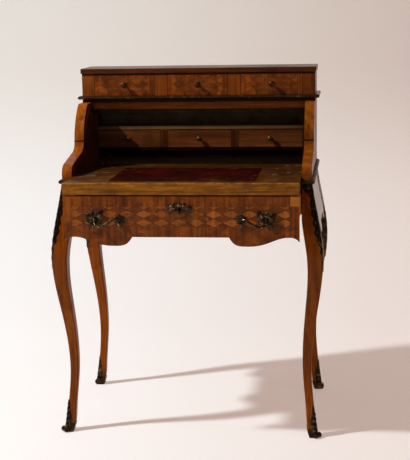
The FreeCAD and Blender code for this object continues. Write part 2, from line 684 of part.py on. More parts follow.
# Side panels: shoulder round the track, hollow sweep, and a nose that turns down
def side_panel():
    """Right-hand side panel with the groove for the roll on its inside."""
    x = spot("inner")
    low = size("writing_height")
    high = spot("gradin_z")
    shoulder = roll_out + size("shoulder_margin")
    crown = math.degrees(math.acos((high - spot("track_z")) / shoulder))
    turn = size("sweep_angle")
    hollow = size("sweep_radius")
    nose = size("nose_radius")
    c2 = on_track(shoulder + hollow, turn, x)
    nose_y = spot("front") + size("nose_set")
    c3 = Vector(x, nose_y + nose, low + size("nose_lift"))
    # The line between hollow and nose touches both circles from opposite sides
    along = c2 - c3
    distance = along.Length
    along.normalize()
    side = Vector(0, along.z, -along.y)
    share = (hollow + nose) / distance
    normal = along * -share + side * math.sqrt(1 - share * share)
    hollow_end = c2 + normal * hollow
    nose_top = c3 - normal * nose
    to_shoulder = on_track(shoulder, turn, x) - c2
    hollow_mid = c2 + (to_shoulder.normalize() + normal).normalize() * hollow
    nose_end = Vector(x, nose_y, c3.z)
    nose_mid = c3 + ((nose_top - c3).normalize() + Vector(0, -1, 0)).normalize() * nose
    edges = [
        line(Vector(x, spot("back"), low), Vector(x, spot("back"), high)),
        line(Vector(x, spot("back"), high), on_track(shoulder, crown, x)),
        arc(on_track(shoulder, crown, x), on_track(shoulder, (crown + turn) / 2, x), on_track(shoulder, turn, x)),
        arc(on_track(shoulder, turn, x), hollow_mid, hollow_end),
        line(hollow_end, nose_top),
        arc(nose_top, nose_mid, nose_end),
        line(nose_end, Vector(x, nose_y, low)),
        line(Vector(x, nose_y, low), Vector(x, spot("back"), low)),
    ]
    panel = Part.Face(Part.Wire(edges)).extrude(Vector(size("side_thick"), 0, 0))
    room = size("groove_clear")
    shut = lead + size("roll_travel")
    groove = sector(slat_in - room, roll_out + room, shut + 1, tail - 1, x, tongue_x + room)
    return panel.cut(groove)


pair("side_panel", side_panel())
keep(board("back_panel", ("2 * At.inner", "Dim.back_thick", "At.gradin_z - Dim.writing_height"),
           ("-At.inner", "At.gradin_back", "Dim.writing_height")), "back_panel")

# Gradin
keep(board("gradin_bottom", ("Dim.body_width", "Dim.gradin_depth", "Dim.gradin_board"),
           ("-At.half", "At.gradin_y", "At.gradin_z")), "gradin_bottom")
slab = board("slab_blank", ("Dim.body_width + 2 * Dim.slab_over", "Dim.gradin_depth + Dim.slab_over",
                            "Dim.slab_thick"),
             ("-At.half - Dim.slab_over", "At.gradin_y - Dim.slab_over", "At.slab_z"))
keep(slab, "gradin_top")
keep(board("gradin_rear", ("2 * At.gradin_in", "Dim.back_thick", "Dim.gradin_rise"),
           ("-At.gradin_in", "At.gradin_back", "At.stile_z")), "gradin_back")
SIDE_PLAN = (("half", "gradin_y"), ("half", "back"), ("gradin_in", "back"), ("gradin_in", "stile_y"),
             ("stile_in", "stile_y"), ("stile_in", "gradin_y"))
WEB_PLAN = (("stile_a", "gradin_y"), ("stile_b", "gradin_y"), ("stile_b", "stile_y"), ("web_b", "stile_y"),
            ("web_b", "gradin_back"), ("web_a", "gradin_back"), ("web_a", "stile_y"), ("stile_a", "stile_y"))
for hand, sign in (("left", -1), ("right", 1)):
    pad("gradin_side_" + hand, [(sign, x, y) for x, y in SIDE_PLAN], "Dim.gradin_rise", "At.stile_z")
    pad("gradin_partition_" + hand, [(sign, x, y) for x, y in WEB_PLAN], "Dim.gradin_rise", "At.stile_z")
for hand, sign in (("left", -1), ("middle", 0), ("right", 1)):
    name = "gradin_drawer_" + hand
    centre = "%d * At.bay_pitch" % sign
    wide = "(At.bay - 2 * Dim.drawer_clear)"
    base = "At.stile_z + Dim.run_clear"
    tall = "(Dim.gradin_rise - Dim.run_clear - Dim.top_clear)"
    keep(board(name + "_face", (wide, "Dim.small_front", tall),
               (centre + " - %s / 2" % wide, "At.gradin_y", base)), name + "_front")
    boxed_drawer(name, centre, wide, "At.gradin_y + Dim.small_front", base, "Dim.small_side", "Dim.small_bottom",
                 "(Dim.small_depth - Dim.small_front)", tall + " - Dim.small_low")
    knob(name + "_knob", centre, "At.gradin_y", base + " + %s / 2" % tall,
         "Dim.knob_radius", "Dim.knob_reach", "Dim.knob_plate")

# Nest of drawers inside the desk
uprights = []
for hand, x in (("left", "-At.inner"), ("right", "At.nest_in")):
    blank = board("upright_blank_" + hand, (
        "Dim.nest_upright", "Dim.nest_depth",
        "At.shelf_z + Dim.nest_shelf + Dim.nest_upper - Dim.writing_height - Dim.upright_clear"),
        (x, "At.nest_y", "Dim.writing_height + Dim.upright_clear"))
    room = doc.addObject("Part::Cylinder", "upright_round_" + hand)
    room.setExpression("Radius", "Dim.roll_radius - Dim.lift_thick - Dim.nest_clear")
    room.setExpression("Height", "Dim.nest_upright")
    room.Placement = Placement(Vector(), Rotation(Vector(0, 1, 0), 90))
    place(room, x, "At.track_y", "At.track_z")
    curved = doc.addObject("Part::Common", "upright_" + hand)
    curved.Base = blank
    curved.Tool = room
    uprights.append(curved)
keep(group("upright_pair", uprights), "nest_uprights")
nest_run = "Dim.nest_depth - Dim.nest_back"
keep(board("nest_low_board", ("2 * At.nest_in", nest_run, "Dim.nest_board"),
           ("-At.nest_in", "At.nest_y", "At.nest_z")), "nest_bottom")
keep(board("nest_high_board", ("2 * At.nest_in", nest_run, "Dim.nest_shelf"),
           ("-At.nest_in", "At.nest_y", "At.shelf_z")), "nest_shelf")
keep(board("nest_rear", ("2 * At.nest_in", "Dim.nest_back", "At.shelf_z + Dim.nest_shelf - At.nest_z"),
           ("-At.nest_in", "At.nest_end - Dim.nest_back", "At.nest_z")), "nest_back")
dividers = [
    board("nest_divider_" + hand, ("Dim.nest_divider", nest_run, "Dim.nest_rise"), (x, "At.nest_y", "At.nest_floor"))
    for hand, x in (("left", "-At.cell / 2 - Dim.nest_divider"), ("right", "At.cell / 2"))]
keep(group("nest_divider_pair", dividers), "nest_dividers")
for hand, sign in (("left", -1), ("middle", 0), ("right", 1)):
    name = "nest_drawer_" + hand
    centre = "%d * At.cell_pitch" % sign
    wide = "(At.cell - 2 * Dim.drawer_clear)"
    base = "At.nest_floor + Dim.run_clear"
    tall = "(Dim.nest_rise - Dim.run_clear - Dim.top_clear)"
    keep(board(name + "_face", (wide, "Dim.nest_front", tall),
               (centre + " - %s / 2" % wide, "At.nest_y", base)), name + "_front")
    boxed_drawer(name, centre, wide, "At.nest_y + Dim.nest_front", base, "Dim.nest_side", "Dim.nest_bottom",
                 "Dim.nest_box", tall + " - Dim.nest_low")
    knob(name + "_knob", centre, "At.nest_y", base + " + %s / 2" % tall,
         "Dim.brass_radius", "Dim.brass_reach", "Dim.brass_plate")

# Writing slide
slide_run = "(Dim.slide_depth - Dim.lipping_deep)"
blank = board("slide_blank", ("2 * At.slide_half", slide_run, "Dim.slide_thick"),
              ("-At.slide_half", "At.slide_y + Dim.lipping_deep", "At.slide_low"))
recess = board("leather_recess", ("Dim.leather_width", "Dim.leather_depth", "Dim.leather_thick"),
               ("-Dim.leather_width / 2", "At.slide_y + Dim.leather_border",
                "Dim.writing_height - Dim.leather_thick"))
slide = doc.addObject("Part::Cut", "slide_cut")
slide.Base = blank
slide.Tool = recess
keep(slide, "slide_board")
keep(board("slide_edge", ("2 * At.slide_half", "Dim.lipping_deep", "Dim.slide_thick"),
           ("-At.slide_half", "At.slide_y", "At.slide_low")), "slide_lipping")
keep(board("leather_sheet", ("Dim.leather_width", "Dim.leather_depth", "Dim.leather_thick"),
           ("-Dim.leather_width / 2", "At.slide_y + Dim.leather_border",
            "Dim.writing_height - Dim.leather_thick")), "slide_leather")

# Frieze drawer
key_z = spot("front_top") - size("key_drop")


def keyhole(y, deep):
    """Round hole with a slot under it, through a plate that faces the front."""
    r = size("key_radius")
    hole = Part.makeCylinder(r, deep, Vector(0, y, key_z), Vector(0, 1, 0))
    slot = Part.makeBox(r, deep, size("key_slot"), Vector(-r / 2, y, key_z - size("key_slot")))
    return hole.fuse(slot)


def plate(x, z, wide, tall):
    """Oval bronze plate on the drawer front."""
    y = spot("frieze_y")
    major = max(wide, tall) / 2
    minor = min(wide, tall) / 2
    oval = Part.Ellipse(Vector(0, 0, 0), major, minor).toShape()
    face = Part.Face(Part.Wire(oval))
    if tall > wide:
        face.rotate(Vector(), Vector(0, 0, 1), 90)
    face.rotate(Vector(), Vector(1, 0, 0), 90)
    face.translate(Vector(x, y, z))
    return face.extrude(Vector(0, -size("mount_plate"), 0))


def handle():
    """Right-hand fixed handle: bowed bar between two posts, each on a plate."""
    y = spot("frieze_y")
    bar = size("handle_bar")
    ball = size("handle_ball")
    middle = spot("handle_x")
    out_y = y - size("handle_reach") + ball
    z = spot("front_top") - size("handle_drop")
    outer = Vector(middle + size("handle_span") / 2, out_y, z + size("handle_tilt"))
    inner = Vector(middle - size("handle_span") / 2, out_y, z - size("handle_tilt"))
    low = Vector(middle, out_y, z - size("handle_sag"))
    bow = arc(inner, low, outer)
    start = bow.tangentAt(bow.FirstParameter)
    ring = Part.Wire(Part.makeCircle(bar, inner, start))
    shape = Part.Wire(bow).makePipeShell([ring], True, False)
    members = [plate(outer.x, outer.z, size("cartouche_wide"), size("cartouche_tall"))]
    rosette = size("rosette_radius")
    members.append(Part.makeCylinder(rosette, size("mount_plate"), Vector(inner.x, y, inner.z), Vector(0, -1, 0)))
    for end in (outer, inner):
        members.append(Part.makeCylinder(size("handle_post"), y - out_y, Vector(end.x, y, end.z), Vector(0, -1, 0)))
        members.append(Part.makeSphere(ball, end))
    return shape.fuse(members)


face = apron_face(spot("inner") - size("board_clear"), spot("front_top"), size("arch_from_end"),
                  size("lobe_from_end"), size("cusp_from_end"), lambda s, z: Vector(s, spot("frieze_y"), z))
front = face.extrude(Vector(0, size("frieze_thick"), 0))
formed("frieze_front", front.cut(keyhole(spot("frieze_y") - 1, size("frieze_thick") + 2)))
plaque = plate(0, key_z, size("plaque_wide"), size("plaque_tall"))
formed("frieze_escutcheon", plaque.cut(keyhole(spot("frieze_y") - size("mount_plate") - 1, size("mount_plate") + 2)))
pair("frieze_handle", handle())
sides = [
    board("frieze_side_" + hand, ("Dim.box_side", "Dim.box_depth", "Dim.box_height"), (x, "At.box_y", "At.box_z"))
    for hand, x in (("left", "-At.box_half"), ("right", "At.box_half - Dim.box_side"))]
keep(group("frieze_side_pair", sides), "frieze_sides")
within = "(2 * At.box_half - 2 * Dim.box_side)"
keep(board("frieze_end", (within, "Dim.box_side", "Dim.box_height"),
           ("Dim.box_side - At.box_half", "At.box_y + Dim.box_depth - Dim.box_side", "At.box_z")), "frieze_back")
keep(board("frieze_floor", (within, "Dim.box_depth - Dim.box_side", "Dim.box_bottom"),
           ("Dim.box_side - At.box_half", "At.box_y", "At.box_z")), "frieze_bottom")
keep(board("lock_case", ("Dim.lock_wide", "Dim.lock_thick", "Dim.lock_tall"),
           ("-Dim.lock_wide / 2", "At.box_y", "At.front_top - Dim.lock_top - Dim.lock_tall")), "frieze_lock")

# Checks before anything is written
doc.recompute()
for obj in doc.Objects:
    if "Invalid" in obj.State or "Error" in obj.State:
        raise RuntimeError("failed object: " + obj.Label)
for obj in PIECES:
    if obj.Shape.isNull() or not obj.Shape.isValid() or not obj.Shape.Solids:
        raise RuntimeError("bad shape: " + obj.Label)
if len({obj.Label for obj in PIECES}) != len(PIECES):
    raise RuntimeError("two pieces share a name")

os.makedirs("parts", exist_ok=True)
for obj in PIECES:
    obj.Shape.exportStep("parts/%s.step" % obj.Label)
print(len(PIECES), "pieces written")
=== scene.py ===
"""Looks of a lady's roll-top writing desk: finishes, bronze work, leather, studio and camera.

Every size is in metres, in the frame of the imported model: +Z up, the desk faces -Y.
"""

import logging
import math
from dataclasses import dataclass
from enum import Enum
from typing import Callable, ClassVar, Dict, List, Sequence, Tuple, Union

import bpy
from mathutils import Matrix, Vector


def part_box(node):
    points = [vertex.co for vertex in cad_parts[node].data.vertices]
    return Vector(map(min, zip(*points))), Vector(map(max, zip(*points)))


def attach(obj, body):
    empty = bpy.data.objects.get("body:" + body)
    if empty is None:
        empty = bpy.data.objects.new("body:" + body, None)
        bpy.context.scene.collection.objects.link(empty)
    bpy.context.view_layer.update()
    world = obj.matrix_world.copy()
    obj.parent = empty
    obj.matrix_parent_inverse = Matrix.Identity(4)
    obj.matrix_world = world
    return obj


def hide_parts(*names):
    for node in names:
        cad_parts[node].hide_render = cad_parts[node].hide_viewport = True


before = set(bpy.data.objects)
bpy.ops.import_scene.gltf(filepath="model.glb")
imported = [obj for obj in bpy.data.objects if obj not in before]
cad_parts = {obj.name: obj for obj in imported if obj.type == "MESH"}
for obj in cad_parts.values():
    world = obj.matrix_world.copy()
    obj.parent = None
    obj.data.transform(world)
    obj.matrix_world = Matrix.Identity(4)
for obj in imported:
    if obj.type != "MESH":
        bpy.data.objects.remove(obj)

LOG = logging.getLogger("writing_desk")
SIDES = ("left", "right")
PLACES = ("left", "middle", "right")

Colour = Tuple[float, float, float]
Pair = Tuple[float, float]
Point = Tuple[float, float, float]
Socket = bpy.types.NodeSocket
Feed = Union[float, Colour, Socket]
Shape = bpy.types.Object

WHITE: Colour = (1.0, 1.0, 1.0)
WHOLE: Point = (1.0, 1.0, 1.0)
ORIGIN: Point = (0.0, 0.0, 0.0)
ACROSS: Point = (1.0, 0.0, 0.0)
AHEAD: Point = (0.0, -1.0, 0.0)
UP: Point = (0.0, 0.0, 1.0)


def shade(red: int, green: int, blue: int) -> Colour:
    """Linear colour of a shade given as 0 to 255 on a screen."""
    return tuple((part / 255.0) ** 2.2 for part in (red, green, blue))


def dim(colour: Colour, share: float) -> Colour:
    """Colour with a share of its light."""
    return tuple(part * share for part in colour)


def each(pattern: str, names: Sequence[str]) -> Tuple[str, ...]:
    """Names of pieces that differ only by their place."""
    return tuple(pattern % name for name in names)


@dataclass(frozen=True)
class Cloud:
    """Cloudy pattern: patches in a metre, octaves, weight of the finer ones, swirl and place."""

    scale: float
    detail: float = 4.0
    rough: float = 0.6
    swirl: float = 0.0
    stretch: Point = WHOLE
    turn: Point = ORIGIN
    shift: Point = ORIGIN


@dataclass(frozen=True)
class Layer:
    """Soft step by which a colour covers another: where it starts, where it is full, its share there."""

    start: float
    full: float
    share: float = 1.0


class Grain(Enum):
    """Way that the fibres of a veneer or board run, with the patterns that follow it."""

    ACROSS = 0
    DEEP = 1
    UPRIGHT = 2

    def stretch(self, share: float) -> Point:
        """Scale that draws a pattern out along the fibres."""
        return tuple(share if axis == self.value else 1.0 for axis in range(3))

    def figure(self, swirl: float = 0.6) -> Cloud:
        """Broad bands that wander more the more they swirl."""
        return Cloud(38.0, 5.0, swirl=swirl, stretch=self.stretch(0.07))

    def fibres(self) -> Cloud:
        """Fine fibres."""
        return Cloud(420.0, 3.0, stretch=self.stretch(0.03))

    def pores(self) -> Cloud:
        """Short dark pores."""
        return Cloud(900.0, 2.0, 0.5, stretch=self.stretch(0.05), shift=(0.3, 0.2, 0.1))

    def streaks(self, scale: float) -> Cloud:
        """Long streaks, so many to a metre."""
        return Cloud(scale, 4.0, 0.68, 0.25, self.stretch(0.045), shift=(0.11, 0.23, 0.05))


class FinishNodes:
    """Node tree of one finish, with a short call for each kind of node."""

    fibre_start = 0.3
    streak_scales = (130.0, 52.0)
    streak_places = (0.36, 0.5, 0.62)
    streak_tones = ((0.34, 0.28, 0.22), (1.0, 0.98, 0.96), (1.7, 1.66, 1.6))

    def __init__(self, name: str) -> None:
        """Start a material with an empty surface shader.

        Args:
            name: Name of the finish.
        """
        self.material = bpy.data.materials.new(name)
        self.material.use_nodes = True
        self.tree = self.material.node_tree
        self.shader = self.tree.nodes["Principled BSDF"]

    def feed(self, socket: Socket, value: Feed) -> None:
        """Link a socket to another, or set its own value.

        Args:
            socket: Input to fill.
            value: Output socket, number or colour.
        """
        if isinstance(value, Socket):
            self.tree.links.new(value, socket)
        elif isinstance(value, tuple) and socket.type == "RGBA":
            socket.default_value = (*value, 1.0)
        else:
            socket.default_value = value

    def node(self, kind: str, inputs: Dict[Union[int, str], Feed], **settings: object) -> bpy.types.Node:
        """Add a node, set its options and fill its inputs.

        Args:
            kind: Blender's name of the node, without the two words that all of them start with.
            inputs: Numbers, colours or sockets by the name or place of the input.
            settings: Options by name.

        Returns:
            The new node.
        """
        made = self.tree.nodes.new("ShaderNode" + kind)
        for name, value in settings.items():
            setattr(made, name, value)
        for name, value in inputs.items():
            self.feed(made.inputs[name], value)
        return made

    def place(self, scale: Point = WHOLE, turn: Point = ORIGIN, shift: Point = ORIGIN) -> Socket:
        """Object coordinates, stretched, turned and moved.

        Args:
            scale: Factor on each axis.
            turn: Turn about each axis, in radians.
            shift: Move along each axis.

        Returns:
            Vector socket.
        """
        coordinates = self.node("TexCoord", {}).outputs["Object"]
        mapping = self.node("Mapping", {"Vector": coordinates, "Scale": scale, "Rotation": turn,
                                        "Location": shift})
        return mapping.outputs["Vector"]

    def split(self) -> Tuple[Socket, Socket, Socket]:
        """Object coordinates as three numbers."""
        return tuple(self.node("SeparateXYZ", {0: self.place()}).outputs)

    def join(self, x: Feed, y: Feed, z: Feed) -> Socket:
        """Vector made of three parts."""
        return self.node("CombineXYZ", {0: x, 1: y, 2: z}).outputs[0]

    def calc(self, operation: str, first: Feed, second: Feed = 0.0) -> Socket:
        """One sum on one or two numbers, by Blender's name of the sum."""
        return self.node("Math", {0: first, 1: second}, operation=operation).outputs[0]

    def scaled(self, value: Feed, factor: float, base: float = 0.0) -> Socket:
        """Number times a factor, plus a base."""
        return self.node("Math", {0: value, 1: factor, 2: base}, operation="MULTIPLY_ADD").outputs[0]

    def apart(self, value: Feed, other: Feed) -> Socket:
        """Distance between two numbers."""
        return self.calc("ABSOLUTE", self.calc("SUBTRACT", value, other))

    def noise(self, cloud: Cloud) -> Socket:
        """Cloudy pattern as a value from 0 to 1.

        Args:
            cloud: Settings of the pattern.

        Returns:
            Value socket.
        """
        place = self.place(cloud.stretch, cloud.turn, cloud.shift)
        made = self.node("TexNoise", {"Vector": place, "Scale": cloud.scale, "Detail": cloud.detail,
                                      "Roughness": cloud.rough, "Distortion": cloud.swirl})
        return made.outputs["Fac"]

    def cover(self, value: Feed, layer: Layer) -> Socket:
        """Weight of a layer where a number stands.

        Args:
            value: The number.
            layer: Soft step that turns it into a weight.

        Returns:
            Value socket, from 0 to the layer's share.
        """
        made = self.node("MapRange", {"Value": value, "From Min": layer.start, "From Max": layer.full,
                                      "To Max": layer.share}, interpolation_type="SMOOTHSTEP")
        return made.outputs["Result"]

    def blend(self, share: Feed, first: Feed, second: Feed, mode: str = "MIX") -> Socket:
        """Two colours mixed by the weight of the second, in a blend of Blender's name."""
        made = self.node("Mix", {0: share, 6: first, 7: second}, data_type="RGBA", blend_type=mode)
        return made.outputs[2]

    def lay(self, under: Feed, over: Feed, value: Feed, layer: Layer) -> Socket:
        """Colour with another laid over it where a number passes a soft step."""
        return self.blend(self.cover(value, layer), under, over)

    def ramp(self, value: Feed, places: Sequence[float], colours: Sequence[Colour]) -> Socket:
        """Colour picked along a row of stops.

        Args:
            value: Number from 0 to 1.
            places: Place of each stop, lowest first.
            colours: Colour of each stop.

        Returns:
            Colour socket.
        """
        made = self.node("ValToRGB", {"Fac": value})
        bar = made.color_ramp
        while len(bar.elements) < len(places):
            bar.elements.new(0.5)
        for element, spot, colour in zip(bar.elements, places, colours):
            element.position = spot
            element.color = (*colour, 1.0)
        return made.outputs["Color"]

    def grained(self, colour: Feed, fibres: Feed, share: float, valley: float, full: float = 0.66) -> Socket:
        """Colour darkened between its fibres.

        Args:
            colour: Colour to darken.
            fibres: Pattern of the fibres, from 0 to 1.
            share: Strength of the effect.
            valley: Light that is left between the fibres, a little less of it in green and blue.
            full: Value of the pattern from which all light is left.

        Returns:
            Colour socket.
        """
        between = (valley, valley - 0.04, valley - 0.1)
        tone = self.ramp(fibres, (self.fibre_start, full), (between, WHITE))
        return self.blend(share, colour, tone, "MULTIPLY")

    def stripe(self, colour: Feed, grain: Grain, share: float) -> Socket:
        """Colour with narrow and broad stripes of darker and paler wood along a grain.

        Args:
            colour: Colour to stripe.
            grain: Way that the stripes run.
            share: Strength of the stripes.

        Returns:
            Colour socket.
        """
        narrow, broad = (self.noise(grain.streaks(scale)) for scale in self.streak_scales)
        both = self.scaled(self.calc("ADD", narrow, broad), 0.5)
        tone = self.ramp(both, self.streak_places, self.streak_tones)
        return self.blend(share, colour, tone, "MULTIPLY")

    def emboss(self, height: Socket, depth: float, strength: float) -> None:
        """Raise the surface by a pattern, to a depth in metres and with a share of the effect."""
        made = self.node("Bump", {"Height": height, "Distance": depth, "Strength": strength})
        self.feed(self.shader.inputs["Normal"], made.outputs["Normal"])

    def surface(self, colour: Feed, roughness: Feed, **fixed: float) -> bpy.types.Material:
        """Finish the surface shader.

        Args:
            colour: Base colour.
            roughness: Roughness.
            fixed: Other inputs of the shader, with spaces written as underscores.

        Returns:
            The material.
        """
        self.feed(self.shader.inputs["Base Color"], colour)
        self.feed(self.shader.inputs["Roughness"], roughness)
        for name, value in fixed.items():
            self.shader.inputs[name.replace("_", " ")].default_value = value
        return self.material


@dataclass(frozen=True)
class Veneer:
    """Polished wood with a grain, worn and a little uneven in tone."""

    name: str
    pale: Colour
    deep: Colour
    grain: Grain
    roughness: float = 0.34
    coat: float = 0.05
    wander: float = 0.6
    joint_z: float = 0.0
    relief: float = 0.35
    polish: float = 0.12
    rubbed_highlight_z: float = 0.0
    mottle: float = 0.0
    stripes: float = 0.5
    shaded_inner_x: float = 0.0
    gloss: float = 0.15
    shade_line_z: float = 0.0

    figure: ClassVar[Pair] = (0.28, 0.72)
    pored: ClassVar[Layer] = Layer(0.66, 0.74)
    age: ClassVar[Cloud] = Cloud(7.0)
    aged: ClassVar[Layer] = Layer(0.5, 0.78)
    dirt_and_shade_light: ClassVar[float] = 0.45
    mottling: ClassVar[Cloud] = Cloud(34.0, 5.0, 0.62, 1.0, (0.55, 1.0, 1.4), shift=(0.4, 0.0, 0.2))
    mottled: ClassVar[Pair] = (0.42, 0.6)
    chafing: ClassVar[Cloud] = Cloud(60.0, rough=0.65)
    chafed: ClassVar[Layer] = Layer(0.4, 0.62, 0.5)
    rubbed_highlight_rim: ClassVar[float] = 0.001
    rubbed_highlight_light: ClassVar[float] = 1.4
    joint_darkening: ClassVar[Layer] = Layer(0.055, 0.0, 0.3)
    joint_line: ClassVar[Layer] = Layer(0.0026, 0.0012)
    shade_line_rim: ClassVar[float] = 0.002
    shaded_inner_rim: ClassVar[Pair] = (0.0006, 0.0002)
    shaded_inner_share: ClassVar[float] = 0.85

    def material(self) -> bpy.types.Material:
        """Mix the finish.

        Returns:
            The material.
        """
        mix = FinishNodes(self.name)
        bands = mix.noise(self.grain.figure(self.wander))
        fine = mix.noise(self.grain.fibres())
        age = mix.noise(self.age)
        dark = dim(self.deep, self.dirt_and_shade_light)
        colour = mix.ramp(bands, self.figure, (self.deep, self.pale))
        colour = mix.grained(colour, fine, share=0.75, valley=0.62, full=0.65)
        colour = mix.lay(colour, dark, mix.noise(self.grain.pores()), self.pored)
        colour = mix.stripe(colour, self.grain, self.stripes)
        colour = mix.lay(colour, dark, age, self.aged)
        colour = self.wear(mix, colour, dark)
        mix.emboss(fine, depth=0.00025, strength=self.relief)
        roughness = mix.scaled(age, factor=0.22, base=self.roughness - 0.1)
        return mix.surface(colour, roughness, Coat_Weight=self.coat, Coat_Roughness=self.polish,
                           Specular_IOR_Level=self.gloss)

    def wear(self, mix: FinishNodes, colour: Socket, dark: Colour) -> Socket:
        """Colour with the marks that only some pieces have, painted shade and highlight among them.

        Args:
            mix: Node tree to add to.
            colour: Colour of the sound wood.
            dark: Colour of dirt, also used for painted shade.

        Returns:
            Colour socket.
        """
        across, _, height = mix.split()
        if self.mottle:
            colour = mix.lay(colour, dark, mix.noise(self.mottling), Layer(*self.mottled, self.mottle))
        # Paler patches along the top rim: partly rubbed wear, partly a painted highlight on the top edge.
        if self.rubbed_highlight_z:
            chafed = mix.cover(mix.noise(self.chafing), self.chafed)
            raised = mix.cover(height, Layer(self.rubbed_highlight_z, self.rubbed_highlight_z + self.rubbed_highlight_rim))
            rubbed = mix.calc("MULTIPLY", raised, chafed)
            colour = mix.blend(rubbed, colour, dim(self.pale, self.rubbed_highlight_light))
        # Darker band either side of the joint of the side panels, and a thin dark line at the joint itself.
        if self.joint_z:
            away = mix.apart(height, self.joint_z)
            colour = mix.lay(colour, dark, away, self.joint_darkening)
            colour = mix.lay(colour, dim(dark, 0.3), away, self.joint_line)
        # Painted shade: a dark line along the top of the gradin's fronts, where the slab above casts its
        # shadow.
        if self.shade_line_z:
            grimy = Layer(self.shade_line_z - self.shade_line_rim, self.shade_line_z)
            colour = mix.lay(colour, dim(dark, 0.5), height, grimy)
        # Painted shade: the inner faces of the side panels are painted darker, for the shade inside the case.
        if self.shaded_inner_x:
            inner = Layer(*(self.shaded_inner_x + rim for rim in self.shaded_inner_rim), self.shaded_inner_share)
            colour = mix.lay(colour, dim(dark, 0.4), mix.calc("ABSOLUTE", across), inner)
        return colour


